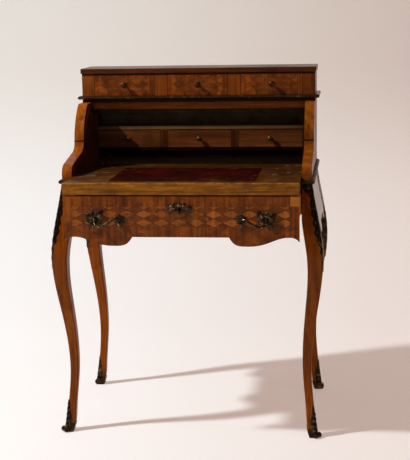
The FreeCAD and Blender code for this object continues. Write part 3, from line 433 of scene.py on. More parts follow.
@dataclass(frozen=True)
class Parquetry:
    """Lozenges of two woods inside cross-banded borders."""

    name: str
    lozenge: Pair
    row_z: float
    field_half: float
    field_low: float
    field_high: float
    pitch: float = 0.0
    start: float = 0.0
    light: Colour = shade(180, 96, 35)
    dark: Colour = shade(130, 65, 22)
    band_pale: Colour = shade(166, 83, 20)
    band_deep: Colour = shade(120, 55, 11)
    bare: Pair = (9.0, 9.0)
    shade_line_z: float = 9.0

    bare_tones: ClassVar[Tuple[Colour, Colour]] = (shade(178, 94, 26), shade(214, 126, 48))
    flush: ClassVar[Colour] = shade(206, 104, 34)
    figure: ClassVar[Pair] = (0.3, 0.7)
    stripes: ClassVar[float] = 0.9
    seam_light: ClassVar[float] = 0.3
    seam_edge: ClassVar[Layer] = Layer(0.455, 0.49)
    tile_drift: ClassVar[Pair] = (0.34, 0.83)
    tile_draw: ClassVar[float] = 0.37
    slant: ClassVar[Cloud] = Cloud(420.0, 3.0, stretch=(0.05, 1.0, 1.0), turn=(0.0, 0.46, 0.0))
    cross_figure: ClassVar[Cloud] = Cloud(46.0, swirl=0.4, stretch=(1.0, 1.0, 0.12))
    age: ClassVar[Cloud] = Cloud(9.0)
    aged: ClassVar[Layer] = Layer(0.45, 0.8, 0.7)
    patch: ClassVar[Cloud] = Cloud(44.0, 5.0, 0.65, 0.6, (0.7, 1.0, 1.0), shift=(0.2, 0.5, 0.3))
    dull_patch: ClassVar[Layer] = Layer(0.47, 0.68, 0.65)
    warm_patch: ClassVar[Layer] = Layer(0.45, 0.3, 0.45)
    field_rim: ClassVar[float] = 0.0003
    bare_rim: ClassVar[float] = 0.0006
    shade_line_rim: ClassVar[float] = 0.002

    def material(self) -> bpy.types.Material:
        """Mix the finish.

        Returns:
            The material.
        """
        mix = FinishNodes(self.name)
        x, _, z = mix.split()
        if self.pitch:
            bay = mix.calc("ROUND", mix.calc("DIVIDE", x, self.pitch))
            x = mix.calc("SUBTRACT", x, mix.calc("MULTIPLY", bay, self.pitch))
        fine = mix.noise(Grain.ACROSS.fibres())
        age = mix.noise(self.age)
        patch = mix.noise(self.patch)
        seam_and_shade = dim(self.dark, self.seam_light)
        colour = mix.blend(self.inside(mix, x, z), self.bands(mix), self.lozenges(mix, x, z, fine))
        colour = mix.lay(colour, seam_and_shade, age, self.aged)
        colour = mix.lay(colour, seam_and_shade, patch, self.dull_patch)
        colour = mix.lay(colour, self.flush, patch, self.warm_patch)
        # Painted shade: a dark line along the top of the fronts, where the slab above casts its shadow.
        colour = mix.lay(colour, seam_and_shade, z, Layer(self.shade_line_z - self.shade_line_rim, self.shade_line_z))
        beyond = [mix.cover(value, Layer(edge - self.bare_rim, edge + self.bare_rim))
                  for value, edge in zip((x, z), self.bare)]
        wood = mix.ramp(fine, self.figure, self.bare_tones)
        colour = mix.blend(mix.calc("MULTIPLY", *beyond), colour, wood)
        mix.emboss(fine, depth=0.0002, strength=0.3)
        return mix.surface(colour, mix.scaled(age, factor=0.2, base=0.26), Coat_Weight=0.05,
                           Coat_Roughness=0.14, Specular_IOR_Level=0.15)

    def inside(self, mix: FinishNodes, x: Socket, z: Socket) -> Socket:
        """Weight of the field of lozenges against its border.

        Args:
            mix: Node tree to add to.
            x: Place across the field.
            z: Height.

        Returns:
            Value socket, 1 inside the field.
        """
        rim = self.field_rim
        within = mix.cover(mix.calc("ABSOLUTE", x), Layer(self.field_half + rim, self.field_half - rim))
        above = mix.cover(z, Layer(self.field_low - rim, self.field_low + rim))
        below = mix.cover(z, Layer(self.field_high + rim, self.field_high - rim))
        return mix.calc("MULTIPLY", mix.calc("MULTIPLY", within, above), below)

    def bands(self, mix: FinishNodes) -> Socket:
        """Colour of the cross-banded border.

        Args:
            mix: Node tree to add to.

        Returns:
            Colour socket.
        """
        colour = mix.ramp(mix.noise(self.cross_figure), self.figure, (self.band_deep, self.band_pale))
        colour = mix.grained(colour, mix.noise(Grain.UPRIGHT.fibres()), share=0.7, valley=0.6)
        return mix.stripe(colour, Grain.UPRIGHT, self.stripes)

    def lozenges(self, mix: FinishNodes, x: Socket, z: Socket, fine: Socket) -> Socket:
        """Colour of the field of lozenges.

        Args:
            mix: Node tree to add to.
            x: Place across the field.
            z: Height.
            fine: Fibres along the field.

        Returns:
            Colour socket.
        """
        u = mix.calc("DIVIDE", mix.calc("SUBTRACT", x, self.start), self.lozenge[0])
        v = mix.calc("DIVIDE", mix.calc("SUBTRACT", z, self.row_z), self.lozenge[1])
        ways = (mix.calc("ADD", u, v), mix.calc("SUBTRACT", u, v))
        steps = [mix.calc("ROUND", way) for way in ways]
        edge = mix.calc("MAXIMUM", *(mix.apart(way, step) for way, step in zip(ways, steps)))
        other = mix.calc("FLOORED_MODULO", mix.calc("ADD", *steps), 2.0)
        tile = mix.node("TexWhiteNoise", {"Vector": mix.join(*steps, self.tile_draw)}, noise_dimensions="3D")
        drift = mix.scaled(tile.outputs["Value"], *self.tile_drift)
        colour = mix.blend(other, self.light, self.dark)
        colour = mix.blend(1.0, colour, mix.join(drift, drift, drift), "MULTIPLY")
        fibres = mix.blend(other, fine, mix.noise(self.slant))
        colour = mix.grained(colour, fibres, share=0.8, valley=0.66)
        colour = mix.lay(colour, dim(self.dark, self.seam_light), edge, self.seam_edge)
        return mix.stripe(colour, Grain.UPRIGHT, 0.5 * self.stripes)


@dataclass(frozen=True)
class Bronze:
    """Cast metal with a dark skin, rubbed brighter in places."""

    name: str
    skin: Colour
    rubbed: Colour
    roughness: float
    rub: float = 0.6
    metal: float = 0.9
    gloss: float = 0.5

    patches: ClassVar[Cloud] = Cloud(70.0, 6.0, 0.65, 0.3)
    rubbing: ClassVar[Pair] = (0.5, 0.72)
    pits: ClassVar[Cloud] = Cloud(900.0, 3.0)

    def material(self) -> bpy.types.Material:
        """Mix the finish.

        Returns:
            The material.
        """
        mix = FinishNodes(self.name)
        patches = mix.noise(self.patches)
        colour = mix.lay(self.skin, self.rubbed, patches, Layer(*self.rubbing, self.rub))
        mix.emboss(mix.noise(self.pits), depth=0.0003, strength=0.4)
        roughness = mix.scaled(patches, factor=-0.2, base=self.roughness + 0.1)
        return mix.surface(colour, roughness, Metallic=self.metal, Specular_IOR_Level=self.gloss)


@dataclass(frozen=True)
class WornSlide:
    """Writing slide round its leather: dry, bleached veneer with scuffs, stains, rubbed places and painted
    shade towards the back.
    """

    name: str = "worn_slide_wood"
    pale: Colour = shade(128, 76, 30)
    deep: Colour = shade(84, 48, 18)
    dusty: Colour = shade(186, 158, 120)
    figure: Pair = (0.3, 0.72)
    scuff: Cloud = Cloud(26.0, 6.0, 0.7, 0.8, (0.5, 1.6, 1.0))
    scuffed: Layer = Layer(0.54, 0.72, 0.42)
    stain: Cloud = Cloud(9.0, shift=(0.7, 0.1, 0.0))
    stained: Layer = Layer(0.46, 0.64, 0.8)
    spots: Cloud = Cloud(30.0, 5.0, 0.66, 0.8, (0.6, 1.4, 1.0), shift=(0.2, 0.9, 0.0))
    spotted: Layer = Layer(0.5, 0.64, 0.6)
    shaded_back: Layer = Layer(-0.2, -0.02, 0.75)
    strokes: Cloud = Cloud(52.0, 5.0, 0.66, 1.6, (0.3, 1.3, 1.0), (0.0, 0.0, 0.15))
    stroked: Layer = Layer(0.61, 0.69, 0.6)
    rubs: Cloud = Cloud(95.0, swirl=1.4, stretch=(0.4, 1.5, 1.0), turn=(0.0, 0.0, -0.3))
    rubbed: Layer = Layer(0.55, 0.66, 0.9375)
    blots: Tuple[Pair, ...] = ((-0.262, -0.115), (0.262, -0.105))
    blotted: Layer = Layer(0.075, 0.03, 0.8)
    blot_squeeze: float = 0.8
    blot_ragged: float = 0.06

    def material(self) -> bpy.types.Material:
        """Mix the finish.

        Returns:
            The material.
        """
        mix = FinishNodes(self.name)
        fine = mix.noise(Grain.ACROSS.fibres())
        scuff = mix.noise(self.scuff)
        stain = mix.noise(self.stain)
        across, depth, _ = mix.split()
        dark = dim(self.deep, 0.4)
        colour = mix.ramp(mix.noise(Grain.ACROSS.figure()), self.figure, (self.deep, self.pale))
        colour = mix.grained(colour, fine, share=0.7, valley=0.62)
        colour = mix.lay(colour, self.dusty, scuff, self.scuffed)
        colour = mix.lay(colour, dark, stain, self.stained)
        colour = mix.lay(colour, dark, mix.noise(self.spots), self.spotted)
        # Painted shade: the board darkens towards its back, under the gradin, where the covered wood is also
        # less bleached.
        colour = mix.lay(colour, dark, depth, self.shaded_back)
        colour = mix.lay(colour, self.dusty, mix.noise(self.strokes), self.stroked)
        rubs = mix.cover(mix.noise(self.rubs), self.rubbed)
        for x, y in self.blots:
            aside = mix.scaled(mix.calc("SUBTRACT", across, x), self.blot_squeeze)
            behind = mix.calc("SUBTRACT", depth, y)
            squares = [mix.calc("MULTIPLY", leg, leg) for leg in (aside, behind)]
            away = mix.calc("SQRT", mix.calc("ADD", *squares))
            near = mix.cover(mix.calc("ADD", away, mix.scaled(stain, self.blot_ragged)), self.blotted)
            colour = mix.blend(near, colour, dim(dark, 0.6))
            colour = mix.blend(mix.calc("MULTIPLY", near, rubs), colour, self.dusty)
        mix.emboss(fine, depth=0.0003, strength=0.4)
        return mix.surface(colour, mix.scaled(scuff, factor=0.3, base=0.26), Specular_IOR_Level=0.08)


@dataclass(frozen=True)
class Leather:
    """Burgundy writing leather, darkened and scuffed."""

    name: str = "writing_leather"
    base: Colour = shade(66, 15, 7)
    dark: Colour = shade(32, 8, 4)
    pale: Colour = shade(176, 132, 104)
    age: Cloud = Cloud(16.0, 5.0, swirl=0.5)
    aged: Pair = (0.32, 0.7)
    scuff: Cloud = Cloud(60.0, 6.0, 0.7, 1.2, (0.35, 1.5, 1.0), (0.0, 0.0, 0.2))
    scuffed: Layer = Layer(0.6, 0.69, 0.5)
    creases: Cloud = Cloud(240.0, swirl=0.4)
    pebbles: float = 1100.0

    def material(self) -> bpy.types.Material:
        """Mix the finish.

        Returns:
            The material.
        """
        mix = FinishNodes(self.name)
        scuff = mix.noise(self.scuff)
        colour = mix.ramp(mix.noise(self.age), self.aged, (self.dark, self.base))
        colour = mix.lay(colour, self.pale, scuff, self.scuffed)
        pebble = mix.node("TexVoronoi", {"Vector": mix.place(), "Scale": self.pebbles}).outputs["Distance"]
        mix.emboss(mix.calc("ADD", pebble, mix.noise(self.creases)), depth=0.0003, strength=0.5)
        return mix.surface(colour, mix.scaled(scuff, factor=0.3, base=0.34), Specular_IOR_Level=0.06)


@dataclass(frozen=True)
class PlainWood:
    """Unpolished wood of the hidden boards, grimy in patches."""

    name: str
    pale: Colour
    deep: Colour
    grain: Grain

    wander: ClassVar[float] = 0.9
    figure: ClassVar[Pair] = (0.28, 0.72)
    grime: ClassVar[Cloud] = Cloud(11.0, 5.0, 0.65)
    grimy: ClassVar[Layer] = Layer(0.5, 0.75, 0.7)

    def material(self) -> bpy.types.Material:
        """Mix the finish.

        Returns:
            The material.
        """
        mix = FinishNodes(self.name)
        fine = mix.noise(self.grain.fibres())
        grime = mix.noise(self.grime)
        colour = mix.ramp(mix.noise(self.grain.figure(self.wander)), self.figure, (self.deep, self.pale))
        colour = mix.grained(colour, fine, share=0.8, valley=0.7)
        colour = mix.lay(colour, dim(self.deep, 0.4), grime, self.grimy)
        mix.emboss(fine, depth=0.0004, strength=0.5)
        return mix.surface(colour, mix.scaled(grime, factor=0.2, base=0.5), Specular_IOR_Level=0.35)


@dataclass(frozen=True)
class Iron:
    """Dark wrought metal of the lock, a little rusty."""

    name: str = "lock_metal"
    tones: Tuple[Colour, ...] = (shade(52, 48, 46), shade(74, 66, 58), shade(96, 62, 40))
    places: Tuple[float, ...] = (0.35, 0.62, 0.8)
    rust: Cloud = Cloud(130.0, 6.0, 0.7, 0.4)

    def material(self) -> bpy.types.Material:
        """Mix the finish.

        Returns:
            The material.
        """
        mix = FinishNodes(self.name)
        rust = mix.noise(self.rust)
        colour = mix.ramp(rust, self.places, self.tones)
        mix.emboss(rust, depth=0.0003, strength=0.4)
        return mix.surface(colour, mix.scaled(rust, factor=0.3, base=0.3), Metallic=0.85)


@dataclass(frozen=True)
class Canvas:
    """Coarse linen glued behind the slats, darkened by painted shade at its lower end."""

    name: str = "roll_linen"
    thread: float = 0.0011
    slope: float = 0.8
    pale: Colour = shade(164, 146, 112)
    deep: Colour = shade(120, 102, 74)
    gap: Colour = shade(82, 68, 48)
    low_end_shade: Colour = shade(26, 20, 14)
    age: Cloud = Cloud(24.0, 5.0)
    aged: Pair = (0.3, 0.7)
    open_weave: Layer = Layer(0.5, 0.0)
    low_end_shaded: Layer = Layer(0.795, 0.765, 0.8)

    def material(self) -> bpy.types.Material:
        """Mix the finish.

        Returns:
            The material.
        """
        mix = FinishNodes(self.name)
        x, y, z = mix.split()
        run = mix.calc("ADD", mix.scaled(y, self.slope), z)
        waves = [mix.calc("SINE", mix.scaled(way, math.pi / self.thread)) for way in (x, run)]
        weave = mix.calc("MULTIPLY", *(mix.calc("ABSOLUTE", wave) for wave in waves))
        colour = mix.ramp(mix.noise(self.age), self.aged, (self.deep, self.pale))
        colour = mix.lay(colour, self.gap, weave, self.open_weave)
        # Painted shade: the canvas darkens towards its lower end, in the dark space under the nest.
        colour = mix.lay(colour, self.low_end_shade, z, self.low_end_shaded)
        mix.emboss(weave, depth=0.0004, strength=0.6)
        return mix.surface(colour, 0.85, Specular_IOR_Level=0.2)


@dataclass(frozen=True)
class StudioPaper:
    """Pale paper of the floor and the sweep behind it, painted lighter on the left towards the key lamp, its
    floor shade kept open.
    """

    name: str = "studio_paper"
    left: Colour = shade(251, 246, 242)
    right: Colour = shade(245, 222, 210)
    reach: Layer = Layer(-1.6, 1.8)
    floor_tint: Colour = (0.76, 0.93, 1.0)
    wall_tint: Colour = (1.0, 0.97, 0.94)
    floor_glow: Colour = (0.395, 0.275, 0.24)
    wall_glow: Colour = (0.12, 0.1, 0.09)
    bend: Layer = Layer(0.05, 0.9)
    tooth: Cloud = Cloud(600.0, 3.0)

    def material(self) -> bpy.types.Material:
        """Mix the finish.

        Returns:
            The material.
        """
        mix = FinishNodes(self.name)
        x, _, z = mix.split()
        raised = mix.cover(z, self.bend)
        # Painted light: the paper is painted lighter on the left, towards the key lamp, and darker on the
        # right.
        colour = mix.lay(self.left, self.right, x, self.reach)
        colour = mix.blend(1.0, colour, mix.blend(raised, self.floor_tint, self.wall_tint), "MULTIPLY")
        mix.emboss(mix.noise(self.tooth), depth=0.0002, strength=0.2)
        rays = mix.node("LightPath", {}).outputs
        seen = mix.calc("MAXIMUM", rays["Is Camera Ray"], rays["Is Glossy Ray"])
        seen = mix.calc("MAXIMUM", seen, rays["Is Transmission Ray"])
        mix.feed(mix.shader.inputs["Emission Color"], mix.blend(raised, self.floor_glow, self.wall_glow))
        mix.feed(mix.shader.inputs["Emission Strength"], seen)
        return mix.surface(colour, 0.9, Specular_IOR_Level=0.1)


class FinishBook:
    """All finishes of the desk, each mixed once."""

    # Distance from the middle to the inner faces of the side panels, which get painted shade.
    shaded_inner_x = 0.313
    side_joint_z = 0.803
    # Height above which the gradin's fronts get a painted shadow line under the slab.
    under_slab_z = 0.9815
    slide_rim_z = 0.7205
    drawer_pitch = 0.215

    def __init__(self) -> None:
        """Mix every finish."""
        recipes = [*self.veneers(), *self.parquetry(), *self.boards(), *self.metals()]
        recipes += [WornSlide(), Leather(), Canvas(), StudioPaper()]
        self.finishes: Dict[str, bpy.types.Material] = {recipe.name: recipe.material() for recipe in recipes}

    def veneers(self) -> List[Veneer]:
        """Polished woods.

        Returns:
            The recipes.
        """
        across = Grain.ACROSS
        upright = Grain.UPRIGHT
        walnut = (shade(112, 58, 22), shade(74, 36, 12))
        side = {"joint_z": self.side_joint_z, "shaded_inner_x": self.shaded_inner_x, "gloss": 0.1}
        stile = {"shade_line_z": self.under_slab_z}
        return [
            Veneer("leg_veneer", shade(182, 92, 16), shade(128, 57, 8), upright, gloss=0.08),
            # Painted light: the rear legs get a lighter copy of the front legs' veneer, against the shade
            # under the desk.
            Veneer("rear_leg_veneer", shade(204, 103, 10), shade(144, 63, 4), upright, gloss=0.08),
            # Painted light: the two side panels are of one wood; the left one is painted lighter and the
            # right one darker, as the key lamp stands on the left.
            Veneer("side_veneer_left", shade(210, 114, 32), shade(134, 61, 10), upright, **side),
            Veneer("side_veneer_right", shade(186, 102, 32), shade(114, 53, 12), upright, **side),
            Veneer("apron_veneer", shade(150, 78, 24), shade(106, 50, 12), upright, roughness=0.3, coat=0.3,
                   relief=0.02, polish=0.03),
            Veneer("stile_veneer", shade(172, 88, 26), shade(116, 54, 13), upright, **stile),
            # Painted light: the gradin's two end stiles are of one wood; the left one is painted lighter and
            # the right one darker, for the light falling off from the left.
            Veneer("end_stile_left", shade(186, 100, 34), shade(126, 61, 17), upright, **stile),
            Veneer("end_stile_right", shade(146, 73, 22), shade(98, 46, 11), upright, **stile),
            Veneer("slab_veneer", *walnut, across),
            Veneer("inner_upright", *walnut, upright, roughness=0.4),
            # Painted shade: the gradin's bottom board is painted dark, for the shade in the gap above the
            # lift rail.
            Veneer("underside_painted_shade", shade(66, 34, 14), shade(40, 20, 8), across, roughness=0.4),
            # Painted shade: a dark finish for the dust board and the nest's bottom and back, standing for the
            # shade under the nest.
            Veneer("nest_painted_shade", shade(36, 20, 9), shade(22, 12, 6), across, roughness=0.5, coat=0.0,
                   gloss=0.05),
            Veneer("shelf_wood", shade(150, 112, 80), shade(112, 78, 50), across, roughness=0.5, coat=0.0),
            Veneer("nest_face", shade(136, 76, 36), shade(98, 50, 20), across, roughness=0.36, coat=0.1),
            Veneer("roll_veneer", shade(166, 82, 20), shade(112, 50, 10), across, roughness=0.36, coat=0.15),
            # Painted light: the lift rail gets a much brighter copy of the roll's veneer, for the light on
            # its face below the gradin.
            Veneer("lift_veneer", shade(242, 130, 40), shade(178, 88, 22), across, roughness=0.36, coat=0.1),
            Veneer("slide_edge", shade(204, 125, 36), shade(134, 75, 17), across, roughness=0.38, coat=0.1,
                   wander=2.2, rubbed_highlight_z=self.slide_rim_z, mottle=0.42, stripes=1.0),
        ]

    def parquetry(self) -> List[Parquetry]:
        """Lozenge work of the frieze drawer and of the three drawers above.

        Returns:
            The recipes.
        """
        return [
            Parquetry("frieze_parquetry", lozenge=(0.0463, 0.0228), row_z=0.6192, field_half=0.2865,
                      field_low=0.6078, field_high=0.6615, start=-0.003, bare=(0.2885, 0.6635)),
            Parquetry("gradin_parquetry", lozenge=(0.036, 0.022), row_z=0.9416, field_half=0.0735,
                      field_low=0.9306, field_high=0.9746, pitch=self.drawer_pitch, light=shade(164, 85, 30),
                      dark=shade(144, 71, 22), band_pale=shade(164, 81, 22), band_deep=shade(120, 56, 13),
                      shade_line_z=self.under_slab_z),
        ]

    @staticmethod
    def boards() -> List[PlainWood]:
        """Unpolished woods.

        Returns:
            The recipes.
        """
        return [
            PlainWood("box_wood", shade(176, 136, 88), shade(132, 94, 54), Grain.DEEP),
            # Painted light: the frieze drawer's sides get a lighter copy of the box wood, for the bright
            # strip they show beside the drawer front's right end.
            PlainWood("side_wood", shade(226, 160, 84), shade(190, 124, 58), Grain.DEEP),
            PlainWood("back_wood", shade(150, 108, 64), shade(106, 70, 38), Grain.ACROSS),
        ]

    @staticmethod
    def metals() -> List[Union[Bronze, Iron]]:
        """Bronze, brass and iron.

        Returns:
            The recipes.
        """
        return [
            Bronze("dark_bronze", shade(52, 38, 26), shade(140, 116, 84), roughness=0.26),
            Bronze("dull_bronze", shade(60, 42, 26), shade(128, 94, 56), roughness=0.5, metal=0.4, gloss=0.2),
            Bronze("worn_bronze", shade(84, 58, 32), shade(158, 124, 80), roughness=0.34, rub=0.8),
            Bronze("handle_bronze", shade(58, 44, 31), shade(172, 146, 110), roughness=0.28, rub=0.85),
            Bronze("pale_brass", shade(104, 72, 36), shade(160, 120, 68), roughness=0.46),
            Iron(),
        ]

    def coat(self, piece: Shape, name: str) -> None:
        """Give a whole piece one finish.

        Args:
            piece: Mesh object.
            name: Name of the finish.
        """
        finish = self.finishes[name]
        if piece.material_slots:
            for slot in piece.material_slots:
                slot.material = finish
        else:
            piece.data.materials.append(finish)


class Bench:
    """Modelling bench: short calls for the steps that repeat."""

    merge = 0.00001
    crease = math.radians(50.0)
    rod_steps = 8
    rod_sides = 3
    lathe_steps = 24
    speck = 0.001

    @staticmethod
    def clear() -> None:
        """Select nothing."""
        bpy.ops.object.select_all(action="DESELECT")

    @staticmethod
    def hold(pieces: Sequence[Shape]) -> None:
        """Select some pieces and nothing else, the first of them active.

        Args:
            pieces: Pieces to select.
        """
        Bench.clear()
        for piece in pieces:
            piece.select_set(True)
        bpy.context.view_layer.objects.active = pieces[0]

    @staticmethod
    def enter() -> None:
        """Go into edit mode."""
        bpy.ops.object.mode_set(mode="EDIT")

    @staticmethod
    def leave() -> None:
        """Go back to object mode."""
        bpy.ops.object.mode_set(mode="OBJECT")

    @staticmethod
    def pick(piece: Shape, wanted: Callable[[Vector], bool] = lambda place: True) -> None:
        """Go into edit mode with all or some vertices selected.

        Args:
            piece: Mesh to edit.
            wanted: Test on the place of a vertex.
        """
        Bench.hold([piece])
        Bench.enter()
        bpy.ops.mesh.select_mode(type="VERT")
        bpy.ops.mesh.select_all(action="DESELECT")
        Bench.leave()
        for vertex in piece.data.vertices:
            vertex.select = wanted(vertex.co)
        Bench.enter()

    @staticmethod
    def modify(piece: Shape, kind: str, **settings: object) -> None:
        """Add a modifier and apply it.

        Args:
            piece: Mesh to change.
            kind: Blender's name of the modifier.
            settings: Options by name.
        """
        Bench.hold([piece])
        bpy.ops.object.modifier_add(type=kind)
        made = piece.modifiers[-1]
        for name, value in settings.items():
            setattr(made, name, value)
        bpy.ops.object.modifier_apply(modifier=made.name)

    @staticmethod
    def close(piece: Shape) -> None:
        """Merge doubles and turn all faces outwards.

        Args:
            piece: Mesh to close.
        """
        Bench.pick(piece)
        bpy.ops.mesh.remove_doubles(threshold=Bench.merge)
        bpy.ops.mesh.normals_make_consistent(inside=False)
        Bench.leave()

    @staticmethod
    def fix(piece: Shape) -> None:
        """Put a piece's place into its mesh."""
        Bench.hold([piece])
        bpy.ops.object.transform_apply(location=True, rotation=True, scale=True)

    @staticmethod
    def copy(piece: Shape, place: Matrix) -> Shape:
        """Copy of a piece, with its own mesh, set at another place.

        Args:
            piece: Piece to copy.
            place: Place and turn of the copy.

        Returns:
            The copy.
        """
        Bench.hold([piece])
        bpy.ops.object.duplicate()
        made = bpy.context.object
        made.matrix_world = place
        Bench.fix(made)
        return made

    @staticmethod
    def mirror(piece: Shape) -> Shape:
        """Copy of a piece on the other side of the desk's middle.

        Args:
            piece: Piece to copy.

        Returns:
            The copy.
        """
        made = Bench.copy(piece, Matrix.Diagonal((-1.0, 1.0, 1.0, 1.0)))
        Bench.close(made)
        return made

    @staticmethod
    def join(pieces: Sequence[Shape], name: str) -> Shape:
        """One named, smoothly shaded piece made of one or several.

        Args:
            pieces: Pieces to join.
            name: Name of the whole.

        Returns:
            The whole.
        """
        Bench.hold(pieces)
        if len(pieces) > 1:
            bpy.ops.object.join()
        made = bpy.context.object
        bpy.ops.object.shade_smooth_by_angle(angle=Bench.crease)
        made.name = name
        made.data.name = name
        return made

    @staticmethod
    def scrap(pieces: Sequence[Shape]) -> None:
        """Throw away patterns that were only copied."""
        Bench.hold(pieces)
        bpy.ops.object.delete()

    @staticmethod
    def rod(points: Sequence[Point], radii: Sequence[float]) -> Shape:
        """Round bar of changing thickness along a smooth line.

        Args:
            points: Places that the bar goes through.
            radii: Its radius at each of them.

        Returns:
            Mesh of the bar, closed at both ends.
        """
        Bench.clear()
        bpy.ops.curve.primitive_bezier_curve_add()
        line = bpy.context.object
        spline = line.data.splines[0]
        spline.bezier_points.add(len(points) - 2)
        for knot, spot, radius in zip(spline.bezier_points, points, radii):
            knot.co = spot
            knot.radius = radius
            knot.handle_left_type = "AUTO"
            knot.handle_right_type = "AUTO"
        line.data.dimensions = "3D"
        line.data.resolution_u = Bench.rod_steps
        line.data.bevel_depth = 1.0
        line.data.bevel_resolution = Bench.rod_sides
        line.data.use_fill_caps = True
        bpy.ops.object.convert(target="MESH")
        made = bpy.context.object
        Bench.close(made)
        return made

    @staticmethod
    def turned(profile: Sequence[Pair]) -> Shape:
        """Piece turned on a lathe about the upright axis.

        Args:
            profile: Radius and height of each point of the outline.

        Returns:
            The turned mesh.
        """
        Bench.clear()
        bpy.ops.mesh.primitive_plane_add(size=Bench.speck)
        made = bpy.context.object
        Bench.pick(made)
        bpy.ops.mesh.merge(type="CENTER")
        bpy.ops.transform.translate(value=(profile[0][0], 0.0, profile[0][1]))
        for (radius, height), (wider, higher) in zip(profile, profile[1:]):
            step = (wider - radius, 0.0, higher - height)
            bpy.ops.mesh.extrude_vertices_move(TRANSFORM_OT_translate={"value": step})
        bpy.ops.mesh.select_all(action="SELECT")
        bpy.ops.mesh.spin(steps=Bench.lathe_steps, angle=2 * math.pi, center=ORIGIN, axis=UP)
        Bench.leave()
        Bench.close(made)
        return made


def seat(spot: Point, along: Point, out: Point) -> Matrix:
    """Place of a pattern whose length runs along one way and whose face looks another.

    Args:
        spot: Where its foot goes.
        along: Way that its length runs.
        out: Way that its face looks.

    Returns:
        Place and turn as a matrix.
    """
    first = Vector(along).normalized()
    third = Vector(out).normalized()
    second = third.cross(first)
    turn = Matrix((first, second, third)).transposed()
    return Matrix.Translation(spot) @ turn.to_4x4()


@dataclass(frozen=True)
class Leaf:
    """Cast leaf with lobes, a rib and a curl, its foot at the origin and its length along X."""

    length: float
    width: float
    rise: float
    curl: float
    lobes: int = 3
    rows: int = 12
    thick: float = 0.0012

    columns: ClassVar[int] = 6
    ribs: ClassVar[Tuple[float, ...]] = (1.0, 0.4, 0.8, 0.1)
    foot: ClassVar[float] = 0.16
    span: ClassVar[float] = 0.82
    fullness: ClassVar[float] = 0.75
    notch: ClassVar[float] = 0.26
    curl_lead: ClassVar[float] = 0.8

    def breadth(self, share: float) -> float:
        """Share of the full width at a share of the length."""
        swell = math.sin(math.pi * (self.foot + self.span * share)) ** self.fullness
        return swell * (1.0 - self.notch + self.notch * abs(math.cos(math.pi * self.lobes * share)))

    def model(self) -> Shape:
        """Shape the leaf from a flat grid.

        Returns:
            The leaf, to be copied.
        """
        Bench.clear()
        bpy.ops.mesh.primitive_grid_add(x_subdivisions=self.rows, y_subdivisions=self.columns, size=1.0)
        piece = bpy.context.object
        Bench.pick(piece)
        bpy.ops.transform.resize(value=(self.length, self.width, 1.0), center_override=ORIGIN)
        bpy.ops.transform.translate(value=(self.length / 2, 0.0, 0.0))
        Bench.leave()
        step = self.width / self.columns
        for column, lift in enumerate(self.ribs):
            Bench.pick(piece, lambda place: abs(abs(place.y) - column * step) < step / 4)
            bpy.ops.transform.translate(value=(0.0, 0.0, lift * self.rise))
            Bench.leave()
        for row in range(self.rows + 1):
            share = row / self.rows
            x = share * self.length
            lift = self.curl * math.sin(math.pi * share ** self.curl_lead)
            Bench.pick(piece, lambda place: abs(place.x - x) < self.length / self.rows / 4)
            bpy.ops.transform.resize(value=(1.0, self.breadth(share), 1.0), center_override=(x, 0.0, 0.0))
            bpy.ops.transform.translate(value=(0.0, 0.0, lift))
            Bench.leave()
        Bench.modify(piece, "SOLIDIFY", thickness=self.thick, offset=-1.0)
        Bench.modify(piece, "SUBSURF", levels=1, render_levels=1)
        return piece


